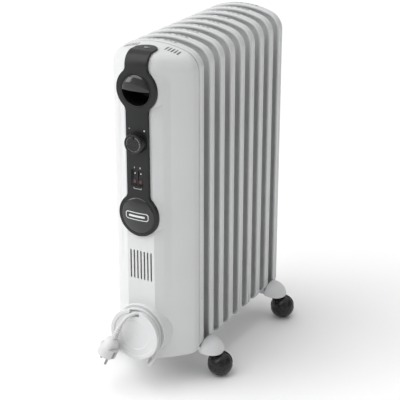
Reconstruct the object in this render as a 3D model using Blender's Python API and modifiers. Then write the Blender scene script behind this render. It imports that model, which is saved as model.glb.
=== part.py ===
"""Oil filled radiator heater with nine fins, a front control housing and four ball castors.

Metres, +Z up. The fins stack along Y, the controls face -Y, and the floor is at Z = 0.
Front depths are measured forward from the seam between the housing and the first fin.
"""

import math

import bmesh
import bpy
import numpy as np
from mathutils import Matrix, Vector

# Fits and walls
CLEAR = 0.0003
FACING_FRONT = (math.pi / 2, 0, 0)
TURN_STEPS = 32
SMALL_TURN_STEPS = 14
SHARP_ANGLE = math.radians(32)

# Fins
FIN_COUNT = 9
FIN_PITCH = 0.040
FIN_DEPTH = 0.0167
FIN_HALF = 0.085
FIN_BOTTOM = 0.064
FIN_TOP = 0.663
FIN_FOOT_RADIUS = 0.015
FIN_CORNER_RADIUS = 0.036
FIN_CROWN_RADIUS = 0.180
FLANGE_WALL = 0.0018
WEB = 0.005
CHANNEL_DEPTH = 0.0105
CHANNEL_XS = (-0.054, -0.018, 0.018, 0.054)
CHANNEL_WIDTH = 0.022
CHANNEL_SLOPE = 0.003
CHANNEL_BOTTOM = 0.142
CHANNEL_TOP = 0.590

# Places along Y
SEAM_Y = -0.1232
FIRST_FIN_FRONT = SEAM_Y + 0.0028
FIRST_GAP_Y = FIRST_FIN_FRONT + (FIN_DEPTH + FIN_PITCH) / 2
GAP_YS = (FIRST_GAP_Y, FIRST_GAP_Y + 7 * FIN_PITCH)

# Oil headers and heating element
HEADER_RADIUS = 0.016
HEADER_BORE = 0.013
LOWER_HEADER_Z = 0.115
UPPER_HEADER_Z = 0.617
HEADER_END = SEAM_Y + 0.3365
ELEMENT_RADIUS = 0.004
ELEMENT_HALF_SPAN = 0.0065
SHIELD_DEPTH = 0.0031
SHIELD_FRONT = SHIELD_DEPTH + 0.0008

# Housing
HOUSING_WALL = 0.0025
HOUSING_DEPTH = 0.0675
HOUSING_FLAT_HALF = 0.0287
HOUSING_BOTTOM = 0.0634
HOUSING_TOP = 0.6615
TOP_SLOPE = 0.1
BROW_START = 0.046
BROW_DROP = 0.020
STRAIGHT_SIDE = 0.010
HOUSING_FOOT_RADIUS = 0.006
CORNER_SHARE = 0.62
BOSS_BACK = 0.030
BOSS_MARGIN = 0.0015
BOSS_SPREAD = 0.58
FRONT_VENT_SIZE = (0.003, 0.012, 0.058)
FRONT_VENT_PITCH = 0.0072
FRONT_VENT_Z = 0.2524
TOP_VENT_SIZE = (0.003, 0.016, 0.030)
TOP_VENT_PITCH = 0.006
TOP_VENT_X = 0.030
TOP_VENT_DEPTH = 0.016
TOP_VENT_Z = 0.655

# Control strip and what it carries
STRIP_HALF = 0.0228
STRIP_LIFT = 0.0065
STRIP_TIP_LIFT = 0.0009
STRIP_TIP = 0.020
STRIP_TIP_RADIUS = 0.0242
STRIP_FRONT = HOUSING_DEPTH + STRIP_LIFT
DISC_RADIUS = 0.041
DISC_FILLET = 0.014
HANDLE_Z = 0.5915
KNOB_Z = 0.495
SWITCH_Z = 0.4274
BADGE_Z = 0.355
GRIP_HOLE = 0.031
CUP_FLOOR = 0.030
GRIP_CROWN = 0.0810
GRIP_BACK = 0.0640
KNOB_RADIUS = 0.019
KNOB_FRONT = 0.0875
SHAFT_RADIUS = 0.003
SHAFT_HOLE = SHAFT_RADIUS + 0.0008
WINDOW = (0.0258, 0.0312)
ROCKER_WIDTH = 0.009
ROCKER_HALF_HEIGHT = 0.0126
ROCKER_XS = (-0.006, 0.006)
ROCKER_DEPTH = 0.0690
ROCKER_REST_TILT = math.radians(6)
BADGE_RADIUS = 0.0339
BADGE_APEX = 0.0790
BADGE_SAG = 0.0045

# Cord storage, cord and plug
SPOOL_Z = 0.121
SPOOL_RADIUS = 0.051
HUB_RADIUS = 0.0265
SPOOL_BOSS_FRONT = 0.0725
GROOVE_FRONT = 0.0905
SPOOL_RIM = 0.0975
CORD_DIAMETER = 0.0066
COIL_OUTER = 0.0472
COIL_FRONT = 0.0880
GLAND_LEAN = math.radians(48)
GLAND_RADIUS = 0.0060
GLAND_LENGTH = 0.012
GLAND_TIP = (0.0, 0.0329, 0.0546)
LOOP_ROUTE = (
    GLAND_TIP,
    (0.0012, 0.0401, 0.0479),
    (0.0037, 0.0488, 0.0439),
    (0.0075, 0.0580, 0.0431),
    (0.0124, 0.0663, 0.0454),
    (0.0180, 0.0727, 0.0506),
    (0.0240, 0.0763, 0.0577),
    (0.0295, 0.0772, 0.0660),
    (0.0375, 0.0772, 0.0850),
)
TAIL_ROUTE = (
    (0.0030, 0.0919, 0.1644),
    (-0.0054, 0.0992, 0.1620),
    (-0.0104, 0.1040, 0.1581),
    (-0.0147, 0.1081, 0.1527),
    (-0.0185, 0.1110, 0.1464),
    (-0.0219, 0.1127, 0.1394),
)
PLUG_START = TAIL_ROUTE[-1]
PLUG_AIM = Vector((-0.40, -0.10, -0.91))
PLUG_ROLL = math.radians(33)
RELIEF_LENGTH = 0.030
PLUG_BODY_LENGTH = 0.036
PIN_LENGTH = 0.019
PIN_SPACING = 0.019

# Castors
BALL_RADIUS = 0.025
BALL_HALF_GAP = 0.0054
BALL_Z = math.sqrt(BALL_RADIUS**2 - BALL_HALF_GAP**2)
TRAIL = 0.017
TRAIL_TURN = math.radians(27)
STEM_X = 0.0953
STEM_RADIUS = 0.004
STEM_TOP = 0.070
NECK_TOP = 0.0540
PLATE_RADIUS = 0.0232
AXLE_RADIUS = 0.003
HOOD_SIZE = (0.034, 0.034, 0.025)
HOOD_Z = 0.054
BRACKET_WIDTH = 0.034
BRACKET_WALL = 0.002
BRACKET_TOP = 0.0635
BRACKET_LIP = 0.0545
U_BOLT_RADIUS = 0.0025
U_BOLT_LEG_X = HEADER_RADIUS + 0.0037
U_BOLT_END = 0.0440


def clear_scene():
    for obj in list(bpy.data.objects):
        bpy.data.objects.remove(obj)


def new_collection(name):
    collection = bpy.data.collections.new(name)
    bpy.context.scene.collection.children.link(collection)
    return collection


def new_material(name, colour, roughness, metallic=0.0):
    material = bpy.data.materials.new(name)
    material.use_nodes = True
    shader = material.node_tree.nodes["Principled BSDF"]
    shader.inputs["Base Color"].default_value = (*colour, 1)
    shader.inputs["Roughness"].default_value = roughness
    shader.inputs["Metallic"].default_value = metallic
    return material


clear_scene()
PARTS = new_collection("oil_radiator")
CUTTERS = new_collection("cutters")
CUTTERS.hide_render = True

FIN_PAINT = new_material("fin_paint", (0.80, 0.81, 0.82), 0.38)
HEADER_STEEL = new_material("header_steel", (0.72, 0.73, 0.74), 0.45)
BARE_STEEL = new_material("bare_steel", (0.55, 0.56, 0.58), 0.35, 1.0)
COPPER = new_material("element_sheath", (0.62, 0.38, 0.25), 0.35, 1.0)
WHITE_PLASTIC = new_material("white_plastic", (0.78, 0.79, 0.80), 0.42)
DARK_PLASTIC = new_material("dark_plastic", (0.055, 0.058, 0.062), 0.38)
GLOSS_BLACK = new_material("gloss_black", (0.025, 0.026, 0.028), 0.12)
BADGE_SILVER = new_material("badge_silver", (0.70, 0.71, 0.72), 0.30, 0.8)
ROCKER_BLACK = new_material("rocker_black", (0.03, 0.03, 0.032), 0.25)
CREAM_NYLON = new_material("cream_nylon", (0.60, 0.56, 0.46), 0.5)
CORD_WHITE = new_material("cord_white", (0.76, 0.76, 0.76), 0.5)
PIN_NICKEL = new_material("pin_nickel", (0.75, 0.74, 0.70), 0.25, 1.0)
CASTOR_BLACK = new_material("castor_black", (0.03, 0.03, 0.032), 0.30)
ZINC_STEEL = new_material("zinc_steel", (0.66, 0.67, 0.70), 0.32, 1.0)

ROOT = bpy.data.objects.new("heater", None)
PARTS.objects.link(ROOT)


def front_place(x, depth, z):
    """A world place, given its depth forward of the seam."""
    return Vector((x, SEAM_Y - depth, z))


def add_part(name, mesh, material, place=(0, 0, 0), turn=(0, 0, 0)):
    obj = bpy.data.objects.new(name, mesh)
    PARTS.objects.link(obj)
    mesh.materials.append(material)
    obj.location = place
    obj.rotation_euler = turn
    obj.parent = ROOT
    return obj


def add_cutter(name, mesh, place=(0, 0, 0), turn=(0, 0, 0)):
    obj = bpy.data.objects.new(name, mesh)
    CUTTERS.objects.link(obj)
    obj.location = place
    obj.rotation_euler = turn
    obj.display_type = "WIRE"
    obj.hide_render = True
    return obj


def combine(obj, cutter, operation="DIFFERENCE"):
    modifier = obj.modifiers.new(cutter.name, "BOOLEAN")
    modifier.operation = operation
    modifier.solver = "EXACT"
    modifier.object = cutter
    return obj


def mesh_from(bm, name):
    """The finished mesh, smooth over its gentle bends."""
    mesh = bpy.data.meshes.new(name)
    bm.to_mesh(mesh)
    bm.free()
    mesh.shade_smooth()
    mesh.set_sharp_from_angle(angle=SHARP_ANGLE)
    return mesh


def box_mesh(name, *boxes):
    """One mesh of boxes, each given as its size and its centre."""
    bm = bmesh.new()
    for size, centre in boxes:
        matrix = Matrix.Translation(centre) @ Matrix.Diagonal((*size, 1))
        bmesh.ops.create_cube(bm, size=1, matrix=matrix)
    return mesh_from(bm, name)


def cone_mesh(name, bottom_radius, top_radius, bottom, top, steps=TURN_STEPS):
    """A cone or cylinder along local Z between two heights."""
    bm = bmesh.new()
    bmesh.ops.create_cone(
        bm,
        cap_ends=True,
        segments=steps,
        radius1=bottom_radius,
        radius2=top_radius,
        depth=top - bottom,
        matrix=Matrix.Translation((0, 0, (top + bottom) / 2)),
    )
    return mesh_from(bm, name)


def flat_mesh(name, outlines, thickness):
    """A flat plate in local XY, centred on Z = 0; outlines inside another are holes."""
    curve = bpy.data.curves.new(name, "CURVE")
    curve.dimensions = "2D"
    curve.fill_mode = "BOTH"
    curve.extrude = thickness / 2
    for outline in outlines:
        spline = curve.splines.new("POLY")
        spline.points.add(len(outline) - 1)
        for point, (x, y) in zip(spline.points, outline):
            point.co = (x, y, 0, 1)
        spline.use_cyclic_u = True
    guide = bpy.data.objects.new(name, curve)
    mesh = bpy.data.meshes.new_from_object(guide)
    bpy.data.objects.remove(guide)
    bm = bmesh.new()
    bm.from_mesh(mesh)
    bmesh.ops.remove_doubles(bm, verts=bm.verts, dist=1e-6)
    bmesh.ops.recalc_face_normals(bm, faces=bm.faces)
    bm.to_mesh(mesh)
    bm.free()
    return mesh


def loft_mesh(name, loops):
    """A closed solid through equal loops of points, capped at both ends."""
    bm = bmesh.new()
    rings = [[bm.verts.new(point) for point in loop] for loop in loops]
    for ring, following in zip(rings, rings[1:]):
        for index in range(len(ring)):
            beside = (index + 1) % len(ring)
            bm.faces.new((ring[index], ring[beside], following[beside], following[index]))
    bm.faces.new(rings[0])
    bm.faces.new(rings[-1])
    bmesh.ops.recalc_face_normals(bm, faces=bm.faces)
    return mesh_from(bm, name)


def turn_modifier(obj, steps=TURN_STEPS):
    screw = obj.modifiers.new("turn", "SCREW")
    screw.axis = "Z"
    screw.steps = steps
    screw.render_steps = steps
    screw.use_merge_vertices = True
    screw.merge_threshold = 1e-5
    screw.use_smooth_shade = True
    return obj


def profile_mesh(name, profile, closed=False):
    """A profile of (radius, height) points, top first down the outer side."""
    bm = bmesh.new()
    verts = [bm.verts.new((radius, 0, height)) for radius, height in profile]
    for first, second in zip(verts, verts[1:]):
        bm.edges.new((first, second))
    if closed:
        bm.edges.new((verts[-1], verts[0]))
    return mesh_from(bm, name)


def turned_part(name, profile, material, place, turn, closed=False, steps=TURN_STEPS):
    obj = add_part(name, profile_mesh(name, profile, closed), material, place, turn)
    return turn_modifier(obj, steps)


def rod_part(name, points, radius, material, sides=2):
    """A round bar along a polyline, with closed ends."""
    curve = bpy.data.curves.new(name, "CURVE")
    curve.dimensions = "3D"
    curve.bevel_depth = radius
    curve.bevel_resolution = sides
    curve.use_fill_caps = True
    spline = curve.splines.new("POLY")
    spline.points.add(len(points) - 1)
    for point, place in zip(spline.points, points):
        point.co = (*place, 1)
    return add_part(name, curve, material)


def arc(centre, radius, start, end, count):
    """Points on an arc, angles in degrees, both ends included."""
    angles = [math.radians(start + (end - start) * step / (count - 1)) for step in range(count)]
    return [(centre[0] + radius * math.cos(a), centre[1] + radius * math.sin(a)) for a in angles]


def circle(centre, radius, count=24):
    return arc(centre, radius, 0, 360 * (count - 1) / count, count)


def rounded_rectangle(width, height, radius, centre=(0, 0)):
    points = []
    for side_x, side_y, start in ((1, -1, -90), (1, 1, 0), (-1, 1, 90), (-1, -1, 180)):
        middle_x = centre[0] + side_x * (width / 2 - radius)
        middle_y = centre[1] + side_y * (height / 2 - radius)
        points += arc((middle_x, middle_y), radius, start, start + 90, 3)
    return points


def crowned_outline(half, bottom, top, corner, foot, inset=0.0):
    """An upright outline (x, z) with round feet, round shoulders and an arched top."""
    crown_z = top - FIN_CROWN_RADIUS
    shoulder_x = half - corner
    reach = FIN_CROWN_RADIUS - corner
    shoulder_z = crown_z + math.sqrt(reach**2 - shoulder_x**2)
    tilt = math.degrees(math.asin(shoulder_x / reach))
    right = arc((half - foot, bottom + foot), foot - inset, -90, 0, 3)
    right += arc((shoulder_x, shoulder_z), corner - inset, 0, 90 - tilt, 6)
    crown = arc((0, crown_z), FIN_CROWN_RADIUS - inset, 90 - tilt, 90 + tilt, 5)
    left = [(-x, z) for x, z in reversed(right)]
    return right + crown[1:-1] + left


def spline_through(route, spacing):
    """Evenly spread points on the natural cubic through a route's points."""
    points = np.array(route, dtype=float)
    knots = np.concatenate([[0], np.cumsum(np.linalg.norm(np.diff(points, axis=0), axis=1))])
    steps = np.diff(knots)
    slopes = np.diff(points, axis=0) / steps[:, None]
    system = np.eye(len(points))
    bends = np.zeros_like(points)
    for row in range(1, len(points) - 1):
        before, after = steps[row - 1], steps[row]
        system[row, row - 1 : row + 2] = before, 2 * (before + after), after
        bends[row] = 6 * (slopes[row] - slopes[row - 1])
    curvature = np.linalg.solve(system, bends)
    found = []
    for at in np.linspace(0, knots[-1], max(2, round(knots[-1] / spacing)) + 1):
        piece = min(np.searchsorted(knots, at, side="right") - 1, len(steps) - 1)
        width = steps[piece]
        left, right = knots[piece + 1] - at, at - knots[piece]
        ends = curvature[piece] * (left**3 / width - left * width)
        ends = ends + curvature[piece + 1] * (right**3 / width - right * width)
        straight = (points[piece] * left + points[piece + 1] * right) / width
        found.append(tuple(straight + ends / 6))
    return found


# Fins and oil circuit
def channel_section(x):
    """Outline (x, y) of one oil channel, sloped from the web up to its crest on both sides."""
    half, crest = CHANNEL_WIDTH / 2, CHANNEL_WIDTH / 2 - CHANNEL_SLOPE
    out = CHANNEL_DEPTH / 2
    return [
        (x - half, 0),
        (x - crest, -out),
        (x + crest, -out),
        (x + half, 0),
        (x + crest, out),
        (x - crest, out),
    ]


def add_fins():
    outer = crowned_outline(FIN_HALF, FIN_BOTTOM, FIN_TOP, FIN_CORNER_RADIUS, FIN_FOOT_RADIUS)
    inner = crowned_outline(
        FIN_HALF, FIN_BOTTOM, FIN_TOP, FIN_CORNER_RADIUS, FIN_FOOT_RADIUS, FLANGE_WALL
    )
    middle = FIN_DEPTH / 2
    sections = [
        (inner, middle - WEB / 2),
        (inner, 0),
        (outer, 0),
        (outer, FIN_DEPTH),
        (inner, FIN_DEPTH),
        (inner, middle + WEB / 2),
    ]
    loops = [[(x, depth, z) for x, z in outline] for outline, depth in sections]
    channels = [channel_section(x) for x in CHANNEL_XS]
    channel_z = (CHANNEL_TOP + CHANNEL_BOTTOM) / 2
    for number in range(FIN_COUNT):
        name = f"fin_{number + 1}"
        place = (0, FIRST_FIN_FRONT + number * FIN_PITCH, 0)
        fin = add_part(name, loft_mesh(name, loops), FIN_PAINT, place)
        pods = flat_mesh("channels", channels, CHANNEL_TOP - CHANNEL_BOTTOM)
        pods_place = (0, place[1] + middle, channel_z)
        combine(fin, add_cutter(f"{name}_channels", pods, pods_place), "UNION")
        for header_z in (LOWER_HEADER_Z, UPPER_HEADER_Z):
            hole = cone_mesh("header_hole", HEADER_RADIUS + CLEAR, HEADER_RADIUS + CLEAR, -0.03, 0.03, 20)
            hole_place = (0, place[1] + middle, header_z)
            combine(fin, add_cutter(f"{name}_hole", hole, hole_place, FACING_FRONT))


def add_headers():
    """Two oil tubes through every fin, closed at the rear end."""
    tubes = (
        ("lower_oil_header", LOWER_HEADER_Z, 0.0040),
        ("upper_oil_header", UPPER_HEADER_Z, -0.0065),
    )
    for name, header_z, front_depth in tubes:
        rear_depth = SEAM_Y - HEADER_END
        profile = [
            (HEADER_BORE, front_depth),
            (HEADER_RADIUS, front_depth),
            (HEADER_RADIUS, rear_depth),
            (0, rear_depth),
            (0, rear_depth + 0.003),
            (HEADER_BORE, rear_depth + 0.003),
        ]
        place = front_place(0, 0, header_z)
        turned_part(name, profile, HEADER_STEEL, place, FACING_FRONT, closed=True, steps=20)
    plug = [(0, 0.0035), (0.0145, 0.0035), (HEADER_RADIUS, 0.002), (HEADER_RADIUS, 0), (0, 0)]
    place = front_place(0, -0.0065 + CLEAR, UPPER_HEADER_Z)
    turned_part("upper_header_plug", plug, HEADER_STEEL, place, FACING_FRONT, steps=20)


def add_element():
    """A hairpin heating element held by a flange on the lower header."""
    flange = add_part(
        "element_flange",
        cone_mesh("element_flange", 0.020, 0.0192, 0, 0.0045, 24),
        BARE_STEEL,
        front_place(0, 0.0040 + CLEAR, LOWER_HEADER_Z),
        FACING_FRONT,
    )
    for side in (-1, 1):
        hole = cone_mesh("lead_hole", ELEMENT_RADIUS + CLEAR, ELEMENT_RADIUS + CLEAR, -0.02, 0.02, 16)
        place = front_place(side * ELEMENT_HALF_SPAN, 0.006, LOWER_HEADER_Z)
        combine(flange, add_cutter("lead_hole", hole, place, FACING_FRONT))
    bend_depth = -0.285
    bend = arc((0, bend_depth), ELEMENT_HALF_SPAN, 180, 360, 9)
    path = [(-ELEMENT_HALF_SPAN, 0.019), *bend, (ELEMENT_HALF_SPAN, 0.019)]
    points = [front_place(x, depth, LOWER_HEADER_Z) for x, depth in path]
    rod_part("heating_element", points, ELEMENT_RADIUS, COPPER)


def add_heat_shield():
    """The steel plate that closes the back of the housing."""
    edge = crowned_outline(
        FIN_HALF - 0.0045, HOUSING_BOTTOM + 0.004, HOUSING_TOP - 0.0045, 0.032, 0.006
    )
    holes = [circle((0, LOWER_HEADER_Z), HEADER_RADIUS + 0.0006)]
    for side in (-1, 1):
        for row in range(3):
            centre = (side * 0.045, 0.235 + row * 0.13)
            holes.append(rounded_rectangle(0.012, 0.090, 0.0055, centre))
    mesh = flat_mesh("heat_shield", [edge, *holes], 0.0016)
    add_part("heat_shield", mesh, BARE_STEEL, front_place(0, SHIELD_DEPTH, 0), FACING_FRONT)


# Housing
def housing_top(depth):
    """Height of the housing's top along its middle, at a depth forward of the seam."""
    height = HOUSING_TOP - TOP_SLOPE * min(depth, BROW_START)
    run = max(0.0, depth - BROW_START) / (HOUSING_DEPTH - BROW_START)
    return height - BROW_DROP * (1 - math.sqrt(max(0.0, 1 - run**2)))


def housing_plan(steps):
    """Half widths of the housing with their depths, from the seam to the flat front."""
    start, pull, end = (0.0825, 0.0165), (0.066, 0.041), (HOUSING_FLAT_HALF, HOUSING_DEPTH)
    plan = [(FIN_HALF, 0.0), (FIN_HALF, STRAIGHT_SIDE), (0.0843, 0.0135)]
    for step in range(steps + 1):
        t = math.sin(math.radians(90 * step / steps))
        weights = ((1 - t) ** 2, 2 * t * (1 - t), t * t)
        plan.append(tuple(np.dot(weights, (start, pull, end))))
    return plan


def housing_loops(inset, steps):
    loops = []
    for half, depth in housing_plan(steps):
        width = half - inset * 1.4
        corner = min(FIN_CORNER_RADIUS, CORNER_SHARE * width)
        bottom = HOUSING_BOTTOM + inset
        outline = crowned_outline(width, bottom, housing_top(depth) - inset, corner, HOUSING_FOOT_RADIUS)
        shift = inset * depth / HOUSING_DEPTH
        if inset and depth == 0:
            shift = 0.004
        loops.append([front_place(x, depth - shift, z) for x, z in outline])
    return loops


def boss_cones(inset):
    """Round pads behind the two discs and the spool, as (height, front depth, radii)."""
    cones = []
    spread = BOSS_SPREAD * (HOUSING_DEPTH - BOSS_BACK)
    for z in (HANDLE_Z, BADGE_Z):
        front_radius = DISC_RADIUS + BOSS_MARGIN - inset
        cones.append((z, HOUSING_DEPTH - inset, front_radius, front_radius + spread))
    spool_radius = SPOOL_RADIUS + 0.0005 - inset
    cones.append((SPOOL_Z, SPOOL_BOSS_FRONT - inset, spool_radius, spool_radius + 0.0055))
    meshes = []
    for z, front, front_radius, back_radius in cones:
        mesh = cone_mesh("boss", back_radius, front_radius, BOSS_BACK, front, 28)
        meshes.append((mesh, front_place(0, 0, z)))
    return meshes


def add_housing():
    housing = add_part("housing", loft_mesh("housing", housing_loops(0, 8)), WHITE_PLASTIC)
    for mesh, place in boss_cones(0):
        combine(housing, add_cutter("boss", mesh, place, FACING_FRONT), "UNION")
    cavity = loft_mesh("cavity", housing_loops(HOUSING_WALL, 5))
    combine(housing, add_cutter("cavity", cavity))
    for mesh, place in boss_cones(HOUSING_WALL):
        combine(housing, add_cutter("boss_cavity", mesh, place, FACING_FRONT))
    bores = ((HANDLE_Z, GRIP_HOLE, TURN_STEPS), (KNOB_Z, SHAFT_HOLE, SMALL_TURN_STEPS))
    for z, radius, steps in bores:
        mesh = cone_mesh("bore", radius, radius, 0.045, 0.090, steps)
        combine(housing, add_cutter("bore", mesh, front_place(0, 0, z), FACING_FRONT))
    window = box_mesh("window", ((WINDOW[0], WINDOW[1], 0.04), (0, 0, 0)))
    place = front_place(0, HOUSING_DEPTH, SWITCH_Z)
    combine(housing, add_cutter("housing_window", window, place, FACING_FRONT))
    combine(housing, add_cutter("front_vents", vent_boxes()))
    combine(housing, add_cutter("top_vents", top_vent_boxes()))
    hole = GLAND_RADIUS + CLEAR
    gland_hole = cone_mesh("gland_hole", hole, hole, -0.02, 0.02, SMALL_TURN_STEPS)
    place, turn = gland_frame()
    combine(housing, add_cutter("gland_hole", gland_hole, place, turn))


def vent_boxes():
    slots = []
    for index in range(-3, 4):
        centre = front_place(index * FRONT_VENT_PITCH, HOUSING_DEPTH, FRONT_VENT_Z)
        slots.append((FRONT_VENT_SIZE, centre))
    return box_mesh("front_vents", *slots)


def top_vent_boxes():
    slots = []
    for side in (-1, 1):
        for index in range(5):
            x = side * (TOP_VENT_X + TOP_VENT_PITCH * index)
            slots.append((TOP_VENT_SIZE, front_place(x, TOP_VENT_DEPTH, TOP_VENT_Z)))
    return box_mesh("top_vents", *slots)


# Control strip
def strip_half_width(z):
    """Half width of the strip on the flat front, where it swells into two discs."""
    reach = 0.0
    for centre in (BADGE_Z, HANDLE_Z):
        away = abs(z - centre)
        fillet_x = STRIP_HALF + DISC_FILLET
        fillet_z = math.sqrt((DISC_RADIUS + DISC_FILLET) ** 2 - fillet_x**2)
        touch = fillet_z * DISC_RADIUS / (DISC_RADIUS + DISC_FILLET)
        if away <= touch or (centre == BADGE_Z and z < centre):
            reach = math.sqrt(max(0.0, DISC_RADIUS**2 - away**2))
        elif away < fillet_z:
            reach = fillet_x - math.sqrt(DISC_FILLET**2 - (fillet_z - away) ** 2)
    return reach or STRIP_HALF


def strip_heights():
    """Heights of the sections on the flat front, close together around each disc."""
    top = HOUSING_TOP - TOP_SLOPE * BROW_START - BROW_DROP
    turns = [math.radians(angle) for angle in range(-90, 51, 10)]
    heights = [BADGE_Z + DISC_RADIUS * math.sin(a) for a in turns]
    heights[0] += 0.0002
    around = [math.radians(angle) for angle in range(-50, 51, 10)]
    swell = [HANDLE_Z + DISC_RADIUS * math.sin(a) for a in around]
    fillet = [0.0345, 0.0375, 0.0409]
    heights += [BADGE_Z + rise for rise in fillet]
    heights += [HANDLE_Z - rise for rise in reversed(fillet)]
    heights += swell
    heights += [HANDLE_Z + rise for rise in fillet]
    return heights + [top]


def strip_sections():
    """(depth, height, normal, half width, lift) along the middle of the strip."""
    sections = [(HOUSING_DEPTH, z, (1, 0), strip_half_width(z), STRIP_LIFT) for z in strip_heights()]
    brow = HOUSING_DEPTH - BROW_START
    brow_z = HOUSING_TOP - TOP_SLOPE * BROW_START
    for step in range(1, 8):
        turn = math.radians(90 * step / 7)
        normal = Vector((math.cos(turn) / brow, math.sin(turn) / BROW_DROP)).normalized()
        depth = BROW_START + brow * math.cos(turn)
        z = brow_z - BROW_DROP * (1 - math.sin(turn))
        sections.append((depth, z, normal, STRIP_HALF, STRIP_LIFT - 0.0044 * step / 7))
    middle = STRIP_TIP + STRIP_TIP_RADIUS
    slope_normal = Vector((TOP_SLOPE, 1)).normalized()
    for depth in (0.036, 0.031, 0.027, 0.024, 0.022, 0.0207, STRIP_TIP + 0.0001):
        half = math.sqrt(STRIP_TIP_RADIUS**2 - (middle - depth) ** 2)
        lift = STRIP_TIP_LIFT + 0.0012 * (depth - STRIP_TIP) / (0.046 - STRIP_TIP)
        z = HOUSING_TOP - TOP_SLOPE * depth
        sections.append((depth, z, slope_normal, half, lift))
    return sections


def add_strip():
    """The dark panel that runs down the front and over the top of the housing."""
    loops = []
    for depth, z, normal, half, lift in strip_sections():
        chamfer = min(0.0010, lift * 0.4, half * 0.5)
        corners = [
            (half, CLEAR),
            (half, lift - chamfer),
            (half - chamfer, lift),
            (-half + chamfer, lift),
            (-half, lift - chamfer),
            (-half, CLEAR),
        ]
        loop = []
        for x, out in corners:
            loop.append(front_place(x, depth + normal[0] * out, z + normal[1] * out))
        loops.append(loop)
    strip = add_part("control_strip", loft_mesh("control_strip", loops), DARK_PLASTIC)
    cuts = (
        (HANDLE_Z, GRIP_HOLE, 0.060, TURN_STEPS),
        (KNOB_Z, SHAFT_HOLE, 0.060, SMALL_TURN_STEPS),
        (BADGE_Z, BADGE_RADIUS + CLEAR, BADGE_APEX - 0.0075, TURN_STEPS),
    )
    for z, radius, back, steps in cuts:
        mesh = cone_mesh("strip_bore", radius, radius, back, 0.090, steps)
        combine(strip, add_cutter("strip_bore", mesh, front_place(0, 0, z), FACING_FRONT))
    window = box_mesh("window", ((WINDOW[0], WINDOW[1], 0.04), (0, 0, 0)))
    place = front_place(0, STRIP_FRONT, SWITCH_Z)
    combine(strip, add_cutter("strip_window", window, place, FACING_FRONT))


def add_handle():
    """A deep round finger cup, half covered by a domed grip."""
    outer, inner = GRIP_HOLE - 0.0004, GRIP_HOLE - 0.0024
    cup = [
        (inner, STRIP_FRONT + 0.0004),
        (outer, STRIP_FRONT + 0.0004),
        (outer, CUP_FLOOR),
        (0, CUP_FLOOR),
        (0, CUP_FLOOR + 0.002),
        (inner - 0.003, CUP_FLOOR + 0.002),
        (inner, CUP_FLOOR + 0.005),
    ]
    place = front_place(0, 0, HANDLE_Z)
    turned_part("handle_cup", cup, DARK_PLASTIC, place, FACING_FRONT, closed=True)
    edge, rise = inner - 0.0004, GRIP_CROWN - STRIP_FRONT
    turns = [math.radians(angle) for angle in range(0, 91, 15)]
    dome = [(edge * math.sin(turn), STRIP_FRONT + rise * math.cos(turn)) for turn in turns]
    profile = [*dome, (edge, GRIP_BACK), (0, GRIP_BACK)]
    grip = turned_part("handle_grip", profile, GLOSS_BLACK, place, FACING_FRONT)
    lower_half = box_mesh("lower_half", ((0.08, 0.04, 0.06), (0, -0.0199, 0.072)))
    combine(grip, add_cutter("lower_half", lower_half, place, FACING_FRONT))


def badge_arc(lift, reach, count):
    """Points (radius, depth) on the badge's dome, raised by a lift, from its middle out."""
    ball = (BADGE_RADIUS**2 + BADGE_SAG**2) / (2 * BADGE_SAG)
    centre = BADGE_APEX - ball
    spread = math.asin(reach / ball)
    turns = [spread * step / (count - 1) for step in range(count)]
    return [((ball + lift) * math.sin(a), centre + (ball + lift) * math.cos(a)) for a in turns]


def add_badge():
    """A domed insert with a plain bar across it."""
    place = front_place(0, 0, BADGE_Z)
    back = BADGE_APEX - 0.0072
    profile = [*badge_arc(0, BADGE_RADIUS, 6), (BADGE_RADIUS, back), (0, back)]
    turned_part("badge_disc", profile, GLOSS_BLACK, place, FACING_FRONT)
    skin = badge_arc(0.0011, 0.028, 5) + list(reversed(badge_arc(CLEAR, 0.028, 5)))
    bar = turned_part("badge_bar", skin, BADGE_SILVER, place, FACING_FRONT, steps=24)
    outline = rounded_rectangle(0.044, 0.0095, 0.002)
    mask = flat_mesh("badge_outline", [outline], 0.04)
    combine(bar, add_cutter("badge_outline", mask, front_place(0, 0.080, BADGE_Z), FACING_FRONT), "INTERSECT")


# Thermostat and switches
def add_control_bracket():
    outline = rounded_rectangle(0.048, 0.128, 0.004, (0, (KNOB_Z + SWITCH_Z) / 2))
    holes = [
        circle((0, KNOB_Z), 0.0045, 16),
        rounded_rectangle(WINDOW[0], WINDOW[1], 0.0005, (0, SWITCH_Z)),
    ]
    mesh = flat_mesh("control_bracket", [outline, *holes], 0.0014)
    depth = HOUSING_DEPTH - HOUSING_WALL - CLEAR - 0.0007
    add_part("control_bracket", mesh, BARE_STEEL, front_place(0, depth, 0), FACING_FRONT)


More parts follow.
